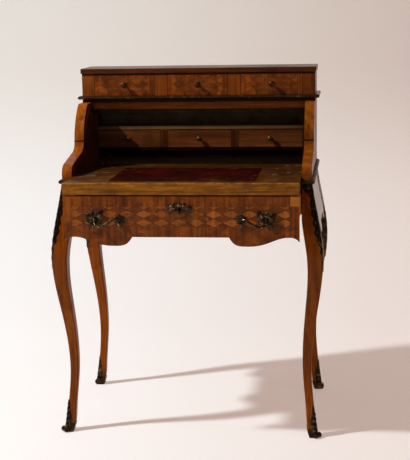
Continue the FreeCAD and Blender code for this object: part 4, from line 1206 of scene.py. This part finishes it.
@dataclass(frozen=True)
class DrapedLeaf:
    """Long lobed leaf that lies on the round of a leg or shoe."""

    length: float
    half: float
    outline: Tuple[Pair, ...]
    lobes: int
    relief: float
    rows: int

    columns: ClassVar[int] = 10
    thick: ClassVar[float] = 0.001
    clearance: ClassVar[float] = 0.0003
    missed: ClassVar[float] = -0.001
    notch: ClassVar[float] = 0.2
    stem: ClassVar[float] = 0.22
    lobe_slant: ClassVar[float] = 0.55
    lobe_reach: ClassVar[float] = 0.92
    lobe_height: ClassVar[float] = 0.85
    edge_height: ClassVar[float] = 0.12

    def breadth(self, share: float) -> float:
        """Share of the half width at a share of the length from its point.

        Args:
            share: Share of the length.

        Returns:
            Share of the half width.
        """
        wide = self.outline[-1][1]
        for (low, first), (high, last) in zip(self.outline, self.outline[1:]):
            if low <= share <= high:
                mix = (share - low) / (high - low)
                wide = first + (last - first) * mix * mix * (3 - 2 * mix)
                break
        return wide * (1.0 - self.notch + self.notch * abs(math.cos(math.pi * self.lobes * share)))

    def height(self, across: float, share: float) -> float:
        """Relief at a place on the leaf: stem, slanting lobes and thin edges.

        Args:
            across: Place from -1 to 1 across the leaf.
            share: Share of the length.

        Returns:
            Share of the relief.
        """
        side = abs(across)
        stem = 1.0 - side / self.stem
        wave = 0.5 + 0.5 * math.cos(2 * math.pi * (self.lobes * share - self.lobe_slant * side))
        lobe = math.sin(math.pi * min(1.0, side / self.lobe_reach)) * wave
        return max(stem, self.lobe_height * lobe, self.edge_height)

    def model(self, target: Shape, under: Shape, place: Matrix) -> Shape:
        """Shape the leaf flat in front of a solid, press it on and raise its relief.

        Args:
            target: Solid that it lies on.
            under: Solid that it lies on where the first one ends.
            place: Where the flat leaf stands, its point at the foot and its face outwards.

        Returns:
            The leaf in its place.
        """
        Bench.clear()
        bpy.ops.mesh.primitive_grid_add(x_subdivisions=self.columns, y_subdivisions=self.rows, size=1.0)
        piece = bpy.context.object
        group = piece.vertex_groups.new(name="relief")
        for point in piece.data.vertices:
            group.add([point.index], self.height(2 * point.co.x, point.co.y + 0.5), "REPLACE")
        Bench.pick(piece)
        bpy.ops.transform.resize(value=(2 * self.half, self.length, 1.0), center_override=ORIGIN)
        bpy.ops.transform.translate(value=(0.0, self.length / 2, 0.0))
        Bench.leave()
        for row in range(self.rows + 1):
            share = row / self.rows
            y = self.length * share
            Bench.pick(piece, lambda spot: abs(spot.y - y) < self.length / self.rows / 4)
            bpy.ops.transform.resize(value=(self.breadth(share), 1.0, 1.0), center_override=(0.0, y, 0.0))
            Bench.leave()
        piece.matrix_world = place
        Bench.modify(piece, "SHRINKWRAP", target=target, auxiliary_target=under, wrap_method="PROJECT",
                     use_project_z=True, use_negative_direction=True, use_positive_direction=False,
                     offset=self.clearance)
        Bench.pick(piece, lambda spot: spot.z > self.missed)
        bpy.ops.mesh.delete(type="VERT")
        Bench.leave()
        Bench.modify(piece, "DISPLACE", strength=self.relief, mid_level=0.0, vertex_group="relief")
        Bench.modify(piece, "SOLIDIFY", thickness=self.thick, offset=-1.0)
        Bench.modify(piece, "SUBSURF", levels=1, render_levels=1)
        Bench.fix(piece)
        return piece


@dataclass
class Assembly:
    """Group of pieces that are dressed and built together."""

    finishes: FinishBook

    coats: ClassVar[Dict[str, Tuple[str, ...]]] = {}

    def dress(self) -> None:
        """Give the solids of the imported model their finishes."""
        for finish, nodes in self.coats.items():
            for node in nodes:
                self.finishes.coat(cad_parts[node], finish)
                LOG.info("%s wears %s", node, finish)

    def add(self, piece: Shape, body: str, slot: str, finish: str, node: str = "") -> None:
        """Take a modelled piece into the desk.

        Args:
            piece: The piece.
            body: Body that it rides on.
            slot: Not used.
            finish: Name of its finish.
            node: Plain solid that it stands for, if there is one.
        """
        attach(piece, body)
        if node:
            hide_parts(node)
        self.finishes.coat(piece, finish)
        LOG.info("%s made", piece.name)

    def hang_knobs(self, row: str, pattern: Shape, petals: Sequence[Tuple[Shape, Matrix]], slot: str,
                   finish: str) -> None:
        """Put copies of a turned knob, with its petals, where a row of drawers has plain ones.

        Args:
            row: First words of the drawers' names.
            pattern: Turned knob with its foot at the origin.
            petals: Patterns round the foot, with their places on the knob.
            slot: Slot of its material.
            finish: Name of its finish.
        """
        for drawer in each(row + "_%s", PLACES):
            node = drawer + "_knob"
            low, high = (Vector(corner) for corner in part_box(node))
            middle = (low + high) / 2
            place = seat((middle.x, high.y, middle.z), ACROSS, AHEAD)
            pieces = [Bench.copy(pattern, place)]
            pieces += [Bench.copy(petal, place @ turn) for petal, turn in petals]
            self.add(Bench.join(pieces, node + "_turned"), drawer, slot, finish, node)


@dataclass
class Stand(Assembly):
    """Legs, aprons, rails and bronze of the lower part."""

    half: float = 0.340
    front: float = -0.1495
    rear: float = 0.279
    mount_low: float = 0.470
    mount_long: float = 0.234
    mount_half: float = 0.017
    mount_turn: float = math.radians(58.0)
    # The rear leaf reaches below the part's mount, partly to darken the rear leg where it stands in shade.
    rear_low: float = 0.42
    rear_half: float = 0.021
    rear_line: float = 0.284
    rear_turn: float = math.radians(33.0)
    rear_lean: float = math.radians(7.0)
    capital_half: float = 0.0125
    capital_long: float = 0.024
    capital_inset: float = 0.001
    shoe_low: float = 0.016
    shoe_long: float = 0.075
    shoe_half: float = 0.0105
    rear_toe: Pair = (0.3455, 0.268)
    toe_front: float = 0.0206
    toe_rear: float = 0.014
    toe_lift: float = 0.008
    toe_half: float = 0.009
    stand_off: float = 0.15

    coats: ClassVar[Dict[str, Tuple[str, ...]]] = {
        "leg_veneer": each("leg_front_%s", SIDES),
        "rear_leg_veneer": each("leg_back_%s", SIDES),
        "apron_veneer": each("side_apron_%s", SIDES),
        "nest_painted_shade": ("dust_board",),
        "back_wood": ("back_rail",),
        "box_wood": ("drawer_runners",),
        "dark_bronze": ("leg_shoes", "knee_mounts"),
        "dull_bronze": ("ledge_mouldings",),
    }
    knee_outline: ClassVar[Tuple[Pair, ...]] = (
        (0.0, 0.4), (0.08, 0.7), (0.45, 1.0), (0.65, 0.8), (0.86, 0.5), (0.95, 1.0), (1.0, 0.92))
    rear_outline: ClassVar[Tuple[Pair, ...]] = (
        (0.0, 0.3), (0.12, 0.6), (0.45, 1.0), (0.75, 0.95), (0.9, 0.75), (1.0, 0.7))
    capital_outline: ClassVar[Tuple[Pair, ...]] = ((0.0, 0.15), (0.4, 0.7), (0.75, 1.0), (1.0, 1.0))
    shoe_outline: ClassVar[Tuple[Pair, ...]] = (
        (0.0, 0.95), (0.3, 1.0), (0.6, 0.72), (0.88, 0.42), (1.0, 0.1))
    eye_profile: ClassVar[Tuple[Pair, ...]] = (
        (0.0, 0.0022), (0.0016, 0.002), (0.0026, 0.001), (0.0034, 0.0012), (0.0048, 0.0022), (0.0062, 0.0016),
        (0.0068, -0.001))

    def build(self) -> None:
        """Model the bronze leaves on the knees and shoes."""
        knees = self.right_knees()
        shoes = self.right_shoes()
        knees += [Bench.mirror(leaf) for leaf in knees]
        shoes += [Bench.mirror(leaf) for leaf in shoes]
        self.add(Bench.join(knees, "knee_mount_leaves"), "carcass", "bronze", "dark_bronze", "knee_mounts")
        self.add(Bench.join(shoes, "shoe_leaves"), "carcass", "bronze", "dark_bronze")

    def right_knees(self) -> List[Shape]:
        """Leaves on the corners of the right-hand knees, and the capital under the ledge.

        Returns:
            The leaves in their places.
        """
        front_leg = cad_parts["leg_front_right"]
        rear_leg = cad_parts["leg_back_right"]
        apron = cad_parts["side_apron_right"]
        top = self.mount_low + self.mount_long

        knee = DrapedLeaf(self.mount_long, self.mount_half, self.knee_outline, lobes=9, relief=0.0023,
                          rows=54)
        out = Vector((math.sin(self.mount_turn), -math.cos(self.mount_turn), 0.0))
        level = Vector((math.cos(self.mount_turn), math.sin(self.mount_turn), 0.0))
        spot = Vector((self.half, self.front, self.mount_low)) + out * self.stand_off
        leaves = [knee.model(front_leg, front_leg, seat(spot, level, out))]

        knee = DrapedLeaf(top - self.rear_low, self.rear_half, self.rear_outline, lobes=11, relief=0.003,
                          rows=66)
        out = Vector((math.cos(self.rear_turn), -math.sin(self.rear_turn), 0.0))
        level = Vector((math.sin(self.rear_turn), math.cos(self.rear_turn), math.tan(self.rear_lean)))
        spot = Vector((self.half, self.rear_line, self.rear_low)) + out * self.stand_off
        leaves.append(knee.model(rear_leg, apron, seat(spot, level, out)))

        capital = DrapedLeaf(self.capital_long, self.capital_half, self.capital_outline, lobes=2,
                             relief=0.0022, rows=16)
        inner = self.half - self.capital_half - self.capital_inset
        spot = Vector((inner, self.front, top - self.capital_long)) + Vector(AHEAD) * self.stand_off
        leaves.append(capital.model(front_leg, front_leg, seat(spot, ACROSS, AHEAD)))
        return leaves

    def right_shoes(self) -> List[Shape]:
        """Leaves over the right-hand shoes and the eyes of their rolled toes.

        Returns:
            The leaves and eyes in their places.
        """
        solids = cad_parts
        slant = math.sqrt(0.5)
        lean = Vector((slant, -slant, 0.0))
        level = Vector((slant, slant, 0.0))
        front = (self.half, self.front)
        rear = (self.half, self.rear)
        corners = (
            ("leg_front_right", front, lean, level, front, self.toe_front),
            ("leg_back_right", rear, Vector(ACROSS), -Vector(AHEAD), self.rear_toe, self.toe_rear),
        )
        shoes = []
        leaf = DrapedLeaf(self.shoe_long, self.shoe_half, self.shoe_outline, lobes=5, relief=0.0018, rows=30)
        eye = Bench.turned(self.eye_profile)
        for leg, foot, out, across, edge, toe in corners:
            spot = Vector((*edge, self.shoe_low)) + lean * self.stand_off
            shoes.append(leaf.model(solids["leg_shoes"], solids[leg], seat(spot, level, lean)))
            for way in (1.0, -1.0):
                spot = Vector((*foot, self.toe_lift)) + out * toe + across * (way * self.toe_half)
                shoes.append(Bench.copy(eye, seat(spot, out, across * way)))
        Bench.scrap([eye])
        return shoes


@dataclass
class DeskCase(Assembly):
    """Curved sides, roll, back and the nest of small drawers inside."""

    track: Pair = (0.1545, 0.782)
    lining_radius: float = 0.1105
    lining_half: float = 0.3115
    lining_start: float = math.radians(13.7)
    lining_sweep: float = math.radians(103.2)
    lining_thick: float = 0.0007
    lining_cuts: int = 24
    lining_steps: int = 42

    coats: ClassVar[Dict[str, Tuple[str, ...]]] = {
        "side_veneer_left": ("side_panel_left",),
        "side_veneer_right": ("side_panel_right",),
        "back_wood": ("back_panel",),
        "lift_veneer": ("roll_lift_rail",),
        "roll_veneer": ("roll_slats",),
        "roll_linen": ("roll_canvas",),
        "nest_painted_shade": ("nest_bottom", "nest_back"),
        "shelf_wood": ("nest_shelf",),
        "inner_upright": ("nest_uprights", "nest_dividers"),
        "nest_face": each("nest_drawer_%s_front", PLACES),
        "box_wood": each("nest_drawer_%s_box", PLACES),
        "pale_brass": each("nest_drawer_%s_knob", PLACES),
    }
    knob_profile: ClassVar[Tuple[Pair, ...]] = (
        (0.0, 0.0), (0.0058, 0.0), (0.006, 0.001), (0.0046, 0.0016), (0.003, 0.0026), (0.0027, 0.004),
        (0.0036, 0.0052), (0.0064, 0.0062), (0.0074, 0.0078), (0.0068, 0.0094), (0.0044, 0.0106),
        (0.0, 0.011))

    def build(self) -> None:
        """Model the canvas of the roll and the brass knobs."""
        self.lining()
        pattern = Bench.turned(self.knob_profile)
        self.hang_knobs("nest_drawer", pattern, [], "brass", "pale_brass")
        Bench.scrap([pattern])

    def lining(self) -> None:
        """Canvas glued behind the slats, bent round the track."""
        y, z = self.track
        spot = (0.0, y + self.lining_radius * math.sin(self.lining_start),
                z + self.lining_radius * math.cos(self.lining_start))
        Bench.clear()
        bpy.ops.mesh.primitive_plane_add(size=2.0, location=spot)
        piece = bpy.context.object
        Bench.pick(piece)
        bpy.ops.transform.resize(value=(self.lining_half, 0.0, 0.0), center_override=spot)
        bpy.ops.mesh.remove_doubles(threshold=Bench.merge)
        bpy.ops.mesh.subdivide(number_cuts=self.lining_cuts)
        bpy.ops.mesh.spin(steps=self.lining_steps, angle=self.lining_sweep, center=(0.0, y, z), axis=ACROSS)
        Bench.leave()
        Bench.close(piece)
        Bench.modify(piece, "SOLIDIFY", thickness=self.lining_thick, offset=0.0)
        Bench.fix(piece)
        piece = Bench.join([piece], "roll_lining")
        self.add(piece, "roll", "canvas", "roll_linen", "roll_canvas")


@dataclass
class Gradin(Assembly):
    """Raised part with three drawers under the top slab."""

    petal_count: int = 6
    petal_out: float = 0.0034
    petal_lift: float = 0.0008

    coats: ClassVar[Dict[str, Tuple[str, ...]]] = {
        "slab_veneer": ("gradin_top",),
        "underside_painted_shade": ("gradin_bottom",),
        "back_wood": ("gradin_back",),
        "worn_bronze": ("gradin_moulding",),
        "end_stile_left": ("gradin_side_left",),
        "end_stile_right": ("gradin_side_right",),
        "stile_veneer": each("gradin_partition_%s", SIDES),
        "gradin_parquetry": each("gradin_drawer_%s_front", PLACES),
        "box_wood": each("gradin_drawer_%s_box", PLACES),
        "dark_bronze": each("gradin_drawer_%s_knob", PLACES),
    }
    knob_profile: ClassVar[Tuple[Pair, ...]] = (
        (0.0, 0.0), (0.0058, 0.0), (0.006, 0.0012), (0.0044, 0.002), (0.003, 0.0036), (0.0026, 0.0062),
        (0.0038, 0.0082), (0.0066, 0.0098), (0.0075, 0.0118), (0.0068, 0.0138), (0.004, 0.0152),
        (0.0022, 0.0154), (0.0, 0.016))
    petal: ClassVar[Leaf] = Leaf(0.0062, 0.0056, rise=0.0008, curl=0.0008, lobes=1, rows=6, thick=0.0006)

    def build(self) -> None:
        """Model the bronze knobs on their leaf rosettes."""
        pattern = Bench.turned(self.knob_profile)
        petal = self.petal.model()
        petals = []
        for step in range(self.petal_count):
            turn = 2 * math.pi * step / self.petal_count
            along = Vector((math.cos(turn), math.sin(turn), 0.0))
            spot = along * self.petal_out + Vector(UP) * self.petal_lift
            petals.append((petal, seat(spot, along, UP)))
        self.hang_knobs("gradin_drawer", pattern, petals, "bronze", "worn_bronze")
        Bench.scrap([pattern, petal])


@dataclass
class WritingSlide(Assembly):
    """Pull-out board with its lipping and leather."""

    lap: float = 0.0015
    deeper: float = 0.054
    lift: float = 0.0003
    swell: float = 0.0002
    swell_size: float = 0.03
    thick: float = 0.00025
    columns: int = 96
    rows: int = 52

    coats: ClassVar[Dict[str, Tuple[str, ...]]] = {
        "worn_slide_wood": ("slide_board",),
        "slide_edge": ("slide_lipping",),
        "writing_leather": ("slide_leather",),
    }

    def build(self) -> None:
        """Lay the leather on the board, over its recess and further back."""
        low, high = (Vector(corner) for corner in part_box("slide_leather"))
        wide = high.x - low.x + 2 * self.lap
        long = high.y - low.y + 2 * self.lap + self.deeper
        spot = ((low.x + high.x) / 2, (low.y + high.y + self.deeper) / 2, high.z + self.lift)
        Bench.clear()
        bpy.ops.mesh.primitive_grid_add(x_subdivisions=self.columns, y_subdivisions=self.rows, size=1.0,
                                        location=spot)
        piece = bpy.context.object
        Bench.pick(piece)
        bpy.ops.transform.resize(value=(wide, long, 1.0), center_override=spot)
        Bench.leave()
        Bench.fix(piece)
        cloud = bpy.data.textures.new("leather_swell", "CLOUDS")
        cloud.noise_scale = self.swell_size
        Bench.modify(piece, "DISPLACE", texture=cloud, texture_coords="LOCAL", direction="Z",
                     strength=self.swell, mid_level=0.0)
        Bench.modify(piece, "SOLIDIFY", thickness=self.thick, offset=-1.0)
        piece = Bench.join([piece], "writing_leather_sheet")
        self.add(piece, "writing_slide", "leather", "writing_leather", "slide_leather")


class Foliage(Enum):
    """Leaf patterns of the frieze drawer's bronze work."""

    LARGE = Leaf(0.031, 0.0185, rise=0.0028, curl=0.0055)
    MIDDLE = Leaf(0.023, 0.0135, rise=0.0023, curl=0.0048)
    SMALL = Leaf(0.0155, 0.0105, rise=0.0018, curl=0.0035, lobes=2, rows=8)


@dataclass(frozen=True)
class Sprig:
    """One leaf of a spray: its pattern, its place across and up, its turn in degrees and its lift."""

    pattern: Foliage
    across: float
    up: float
    degrees: float
    lift: float = 0.0

    def facing(self) -> "Sprig":
        """The leaf that faces this one on the other side of the spray."""
        return Sprig(self.pattern, -self.across, self.up, 180.0 - self.degrees, self.lift)


def both_ways(sprigs: Sequence[Sprig]) -> Tuple[Sprig, ...]:
    """Leaves of one side of a spray and those that face them."""
    return (*sprigs, *(sprig.facing() for sprig in sprigs))


@dataclass
class FriezeDrawer(Assembly):
    """Shaped drawer with its lock, escutcheon and handles."""

    face: float = -0.2675
    cartouche: Pair = (0.2265, 0.6285)
    rosette: Pair = (0.1605, 0.6285)
    keyhole: Pair = (0.0, 0.660)
    leaf_gap: float = 0.0008
    volute_out: float = 0.0035
    plate_out: float = 0.0028
    plate_thick: float = 0.0012
    hole_radius: float = 0.0026
    hole_sides: int = 32
    hole_waist: float = -0.0012
    hole_drop: float = -0.0072
    hole_taper: float = 0.62
    oval_drop: float = -0.0028

    coats: ClassVar[Dict[str, Tuple[str, ...]]] = {
        "frieze_parquetry": ("frieze_front",),
        "side_wood": ("frieze_sides",),
        "box_wood": ("frieze_back", "frieze_bottom"),
        "lock_metal": ("frieze_lock",),
        "dark_bronze": ("frieze_escutcheon", "frieze_handle_left", "frieze_handle_right"),
    }
    cartouche_leaves: ClassVar[Tuple[Sprig, ...]] = (
        Sprig(Foliage.LARGE, -0.002, 0.002, 136.0),
        Sprig(Foliage.MIDDLE, 0.001, 0.002, 78.0, 0.001),
        Sprig(Foliage.LARGE, 0.001, 0.0, 30.0),
        Sprig(Foliage.LARGE, 0.0, -0.002, -60.0),
        Sprig(Foliage.SMALL, -0.002, -0.001, 192.0, 0.001),
        Sprig(Foliage.SMALL, 0.002, -0.001, -12.0, 0.001),
        Sprig(Foliage.SMALL, -0.001, -0.003, -112.0, 0.001),
        Sprig(Foliage.SMALL, -0.003, 0.006, 112.0, 0.004),
        Sprig(Foliage.SMALL, 0.003, 0.004, 50.0, 0.004),
    )
    rosette_leaves: ClassVar[Tuple[Sprig, ...]] = (
        Sprig(Foliage.SMALL, 0.0, 0.001, 90.0),
        Sprig(Foliage.MIDDLE, 0.0, -0.001, -92.0),
        *both_ways((
            Sprig(Foliage.SMALL, 0.001, 0.0, 24.0),
            Sprig(Foliage.SMALL, 0.001, -0.001, -42.0, 0.0005),
        )),
    )
    escutcheon_leaves: ClassVar[Tuple[Sprig, ...]] = both_ways((
        Sprig(Foliage.MIDDLE, 0.007, 0.0, 4.0),
        Sprig(Foliage.MIDDLE, 0.016, 0.0, -3.0, 0.0012),
        Sprig(Foliage.SMALL, 0.006, 0.003, 38.0, 0.0006),
        Sprig(Foliage.SMALL, 0.006, -0.003, -34.0, 0.0006),
    ))
    boss_profile: ClassVar[Tuple[Pair, ...]] = (
        (0.0, 0.009), (0.0026, 0.0086), (0.0046, 0.0068), (0.0054, 0.0042), (0.0062, 0.0026), (0.0064, 0.0),
        (0.0, 0.0))
    volutes: ClassVar[Tuple[Tuple[Pair, ...], ...]] = (
        ((-0.002, -0.006), (-0.009, -0.002), (-0.016, 0.001), (-0.020, 0.007), (-0.016, 0.011),
         (-0.0125, 0.008), (-0.0145, 0.006)),
        ((0.003, -0.004), (0.009, -0.008), (0.016, -0.008), (0.020, -0.002), (0.017, 0.003), (0.013, 0.0015),
         (0.014, -0.001)),
    )
    volute_radii: ClassVar[Tuple[float, ...]] = (0.0024, 0.0024, 0.0022, 0.002, 0.0018, 0.0016, 0.0014)
    bar_from_cartouche: ClassVar[Tuple[Point, ...]] = (
        (0.0, -0.006, -0.003), (-0.003, -0.0155, -0.011), (-0.013, -0.0212, -0.0165),
        (-0.025, -0.0219, -0.014), (-0.036, -0.0215, -0.008), (-0.049, -0.019, -0.001))
    bar_from_rosette: ClassVar[Tuple[Point, ...]] = ((0.008, -0.014, 0.002), (0.0, -0.006, 0.0))
    bar_radii: ClassVar[Tuple[float, ...]] = (0.0034, 0.0038, 0.0039, 0.0038, 0.0034, 0.0028, 0.0026, 0.0032)
    plate_rings: ClassVar[Tuple[Point, ...]] = (
        (0.0062, 0.0098, 0.0), (0.0074, 0.0112, 0.0018), (0.0088, 0.0126, 0.0), (0.0092, 0.0130, -0.0024))

    def build(self) -> None:
        """Model the two handles and the escutcheon."""
        patterns = {kind: kind.value.model() for kind in Foliage}
        right = self.handle(patterns)
        left = Bench.join([Bench.mirror(right)], "handle_left_cast")
        leaves = self.spray(self.escutcheon_leaves, self.keyhole, patterns)
        plate = Bench.join([*leaves, self.keyhole_plate()], "escutcheon_cast")
        for piece, node in ((right, "handle_right"), (left, "handle_left"), (plate, "escutcheon")):
            self.add(piece, "frieze_drawer", "bronze", "handle_bronze", "frieze_" + node)
        Bench.scrap(list(patterns.values()))

    def at(self, centre: Pair, step: Point) -> Point:
        """Place on the drawer front, by a step across, back and up from a point of it."""
        return (centre[0] + step[0], self.face + step[1], centre[1] + step[2])

    def spray(self, sprigs: Sequence[Sprig], centre: Pair, patterns: Dict[Foliage, Shape]) -> List[Shape]:
        """Leaves laid round a point of the drawer front.

        Args:
            sprigs: The leaves of the spray.
            centre: The point, across and up.
            patterns: Modelled leaf of each kind.

        Returns:
            The leaves.
        """
        leaves = []
        for sprig in sprigs:
            turn = math.radians(sprig.degrees)
            along = (math.cos(turn), 0.0, math.sin(turn))
            spot = self.at(centre, (sprig.across, -self.leaf_gap - sprig.lift, sprig.up))
            leaves.append(Bench.copy(patterns[sprig.pattern], seat(spot, along, AHEAD)))
        return leaves

    def handle(self, patterns: Dict[Foliage, Shape]) -> Shape:
        """Right-hand handle: leafy cartouche, bowed bar and small rosette.

        Args:
            patterns: Modelled leaf of each kind.

        Returns:
            The casting.
        """
        pieces = self.spray(self.cartouche_leaves, self.cartouche, patterns)
        pieces += self.spray(self.rosette_leaves, self.rosette, patterns)
        boss = Bench.turned(self.boss_profile)
        for centre in (self.cartouche, self.rosette):
            pieces.append(Bench.copy(boss, seat(self.at(centre, ORIGIN), ACROSS, AHEAD)))
        Bench.scrap([boss])
        bar = [self.at(self.cartouche, step) for step in self.bar_from_cartouche]
        bar += [self.at(self.rosette, step) for step in self.bar_from_rosette]
        pieces.append(Bench.rod(bar, self.bar_radii))
        for line in self.volutes:
            points = [self.at(self.cartouche, (across, -self.volute_out, up)) for across, up in line]
            pieces.append(Bench.rod(points, self.volute_radii))
        return Bench.join(pieces, "handle_right_cast")

    def keyhole_plate(self) -> Shape:
        """Oval plate with a raised rim and a real keyhole.

        Returns:
            The plate.
        """
        Bench.clear()
        bpy.ops.mesh.primitive_circle_add(vertices=self.hole_sides, radius=self.hole_radius,
                                          fill_type="NOTHING")
        piece = bpy.context.object
        Bench.pick(piece, lambda place: place.y < self.hole_waist)
        bpy.ops.transform.translate(value=(0.0, self.hole_drop, 0.0))
        bpy.ops.transform.resize(value=(self.hole_taper, 1.0, 1.0), center_override=ORIGIN)
        bpy.ops.mesh.select_all(action="SELECT")
        for wide, tall, lift in self.plate_rings:
            bpy.ops.mesh.extrude_edges_move()
            self.make_oval(piece, wide, tall, lift)
        Bench.leave()
        Bench.modify(piece, "SOLIDIFY", thickness=self.plate_thick, offset=-1.0)
        Bench.close(piece)
        spot = self.at(self.keyhole, (0.0, -self.plate_out, 0.0))
        piece.matrix_world = seat(spot, ACROSS, AHEAD)
        Bench.fix(piece)
        return piece

    def make_oval(self, piece: Shape, wide: float, tall: float, lift: float) -> None:
        """Turn the selected loop into an oval round the keyhole.

        Args:
            piece: Mesh in edit mode with one loop selected.
            wide: Half its width.
            tall: Half its height.
            lift: Its height above the plate.
        """
        Bench.leave()
        for point in piece.data.vertices:
            if point.select:
                turn = math.atan2(point.co.y - self.oval_drop, point.co.x)
                point.co = (wide * math.cos(turn), self.oval_drop + tall * math.sin(turn), lift)
        Bench.enter()


@dataclass(frozen=True)
class Lamp:
    """Round studio lamp."""

    name: str
    spot: Point
    target: Point
    energy: float
    colour: Colour
    size: float = 0.3

    def hang(self) -> None:
        """Hang the lamp and point it."""
        light = bpy.data.lights.new(self.name, "AREA")
        light.energy = self.energy
        light.shape = "DISK"
        light.size = self.size
        light.color = self.colour
        holder = bpy.data.objects.new(self.name, light)
        bpy.context.scene.collection.objects.link(holder)
        holder.location = self.spot
        way = Vector(self.target) - Vector(self.spot)
        holder.rotation_euler = way.to_track_quat("-Z", "Y").to_euler()


@dataclass
class Studio:
    """Paper sweep, lamps and camera of the photograph."""

    finishes: FinishBook
    half_width: float = 6.0
    front: float = -5.0
    bend_start: float = 1.1
    bend_radius: float = 3.1
    bend_steps: int = 24
    wall_height: float = 2.0
    fill: Colour = (1.0, 0.9, 0.85)
    fill_strength: float = 0.12
    eye: Point = (0.4497, -3.3475, 1.1818)
    yaw: float = 0.124
    pitch: float = -0.185
    roll: float = -0.018
    lens: float = 94.7
    film_width: float = 36.0

    lamps: ClassVar[Tuple[Lamp, ...]] = (
        Lamp("key_lamp", (-3.6, -1.35, 4.3), (0.0, 0.05, 0.5), energy=258.0, colour=(0.96, 0.99, 1.0)),
        Lamp("weak_lamp", (3.6, -0.7, 2.6), (0.0, 0.05, 0.4), energy=7.0, colour=(1.0, 0.93, 0.86)),
    )

    def build(self) -> None:
        """Make the sweep, the lamps, the even fill and the camera."""
        self.sweep()
        for lamp in self.lamps:
            lamp.hang()
        world = bpy.data.worlds.new("studio_fill")
        bpy.context.scene.world = world
        world.use_nodes = True
        sky = world.node_tree.nodes["Background"]
        sky.inputs["Color"].default_value = (*self.fill, 1.0)
        sky.inputs["Strength"].default_value = self.fill_strength
        self.camera()

    def sweep(self) -> None:
        """Floor that curves up into a backdrop."""
        Bench.clear()
        middle = (self.front + self.bend_start) / 2
        bpy.ops.mesh.primitive_plane_add(size=1.0, location=(0.0, middle, 0.0))
        paper = bpy.context.object
        paper.name = "studio_sweep"
        paper.scale = (2 * self.half_width, self.bend_start - self.front, 1.0)
        Bench.fix(paper)
        Bench.pick(paper, lambda place: place.y > middle)
        bpy.ops.mesh.spin(steps=self.bend_steps, angle=-math.pi / 2,
                          center=(0.0, self.bend_start, self.bend_radius), axis=ACROSS)
        bpy.ops.mesh.extrude_region_move(TRANSFORM_OT_translate={"value": (0.0, 0.0, self.wall_height)})
        Bench.leave()
        Bench.close(paper)
        bpy.ops.object.shade_smooth()
        self.finishes.coat(paper, "studio_paper")

    def camera(self) -> None:
        """Camera at the photograph's place."""
        level = math.cos(self.pitch)
        ahead = Vector((-math.sin(self.yaw) * level, math.cos(self.yaw) * level, math.sin(self.pitch)))
        right = Vector((math.cos(self.yaw), math.sin(self.yaw), 0.0))
        up = right.cross(ahead)
        side = right * math.cos(self.roll) + up * math.sin(self.roll)
        head = up * math.cos(self.roll) - right * math.sin(self.roll)
        turn = Matrix((side, head, -ahead)).transposed()
        lens = bpy.data.cameras.new("photo_camera")
        lens.lens = self.lens
        lens.sensor_width = self.film_width
        holder = bpy.data.objects.new("photo_camera", lens)
        bpy.context.scene.collection.objects.link(holder)
        holder.matrix_world = Matrix.Translation(self.eye) @ turn.to_4x4()
        bpy.context.scene.camera = holder


def main() -> None:
    """Build the desk's looks in order."""
    logging.basicConfig(level=logging.INFO, format="%(message)s")
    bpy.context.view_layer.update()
    bpy.context.scene.view_settings.view_transform = "Standard"
    finishes = FinishBook()
    for assembly in (Stand(finishes), DeskCase(finishes), Gradin(finishes), WritingSlide(finishes),
                     FriezeDrawer(finishes)):
        assembly.dress()
        assembly.build()
    Studio(finishes).build()


if __name__ == "__main__":
    main()
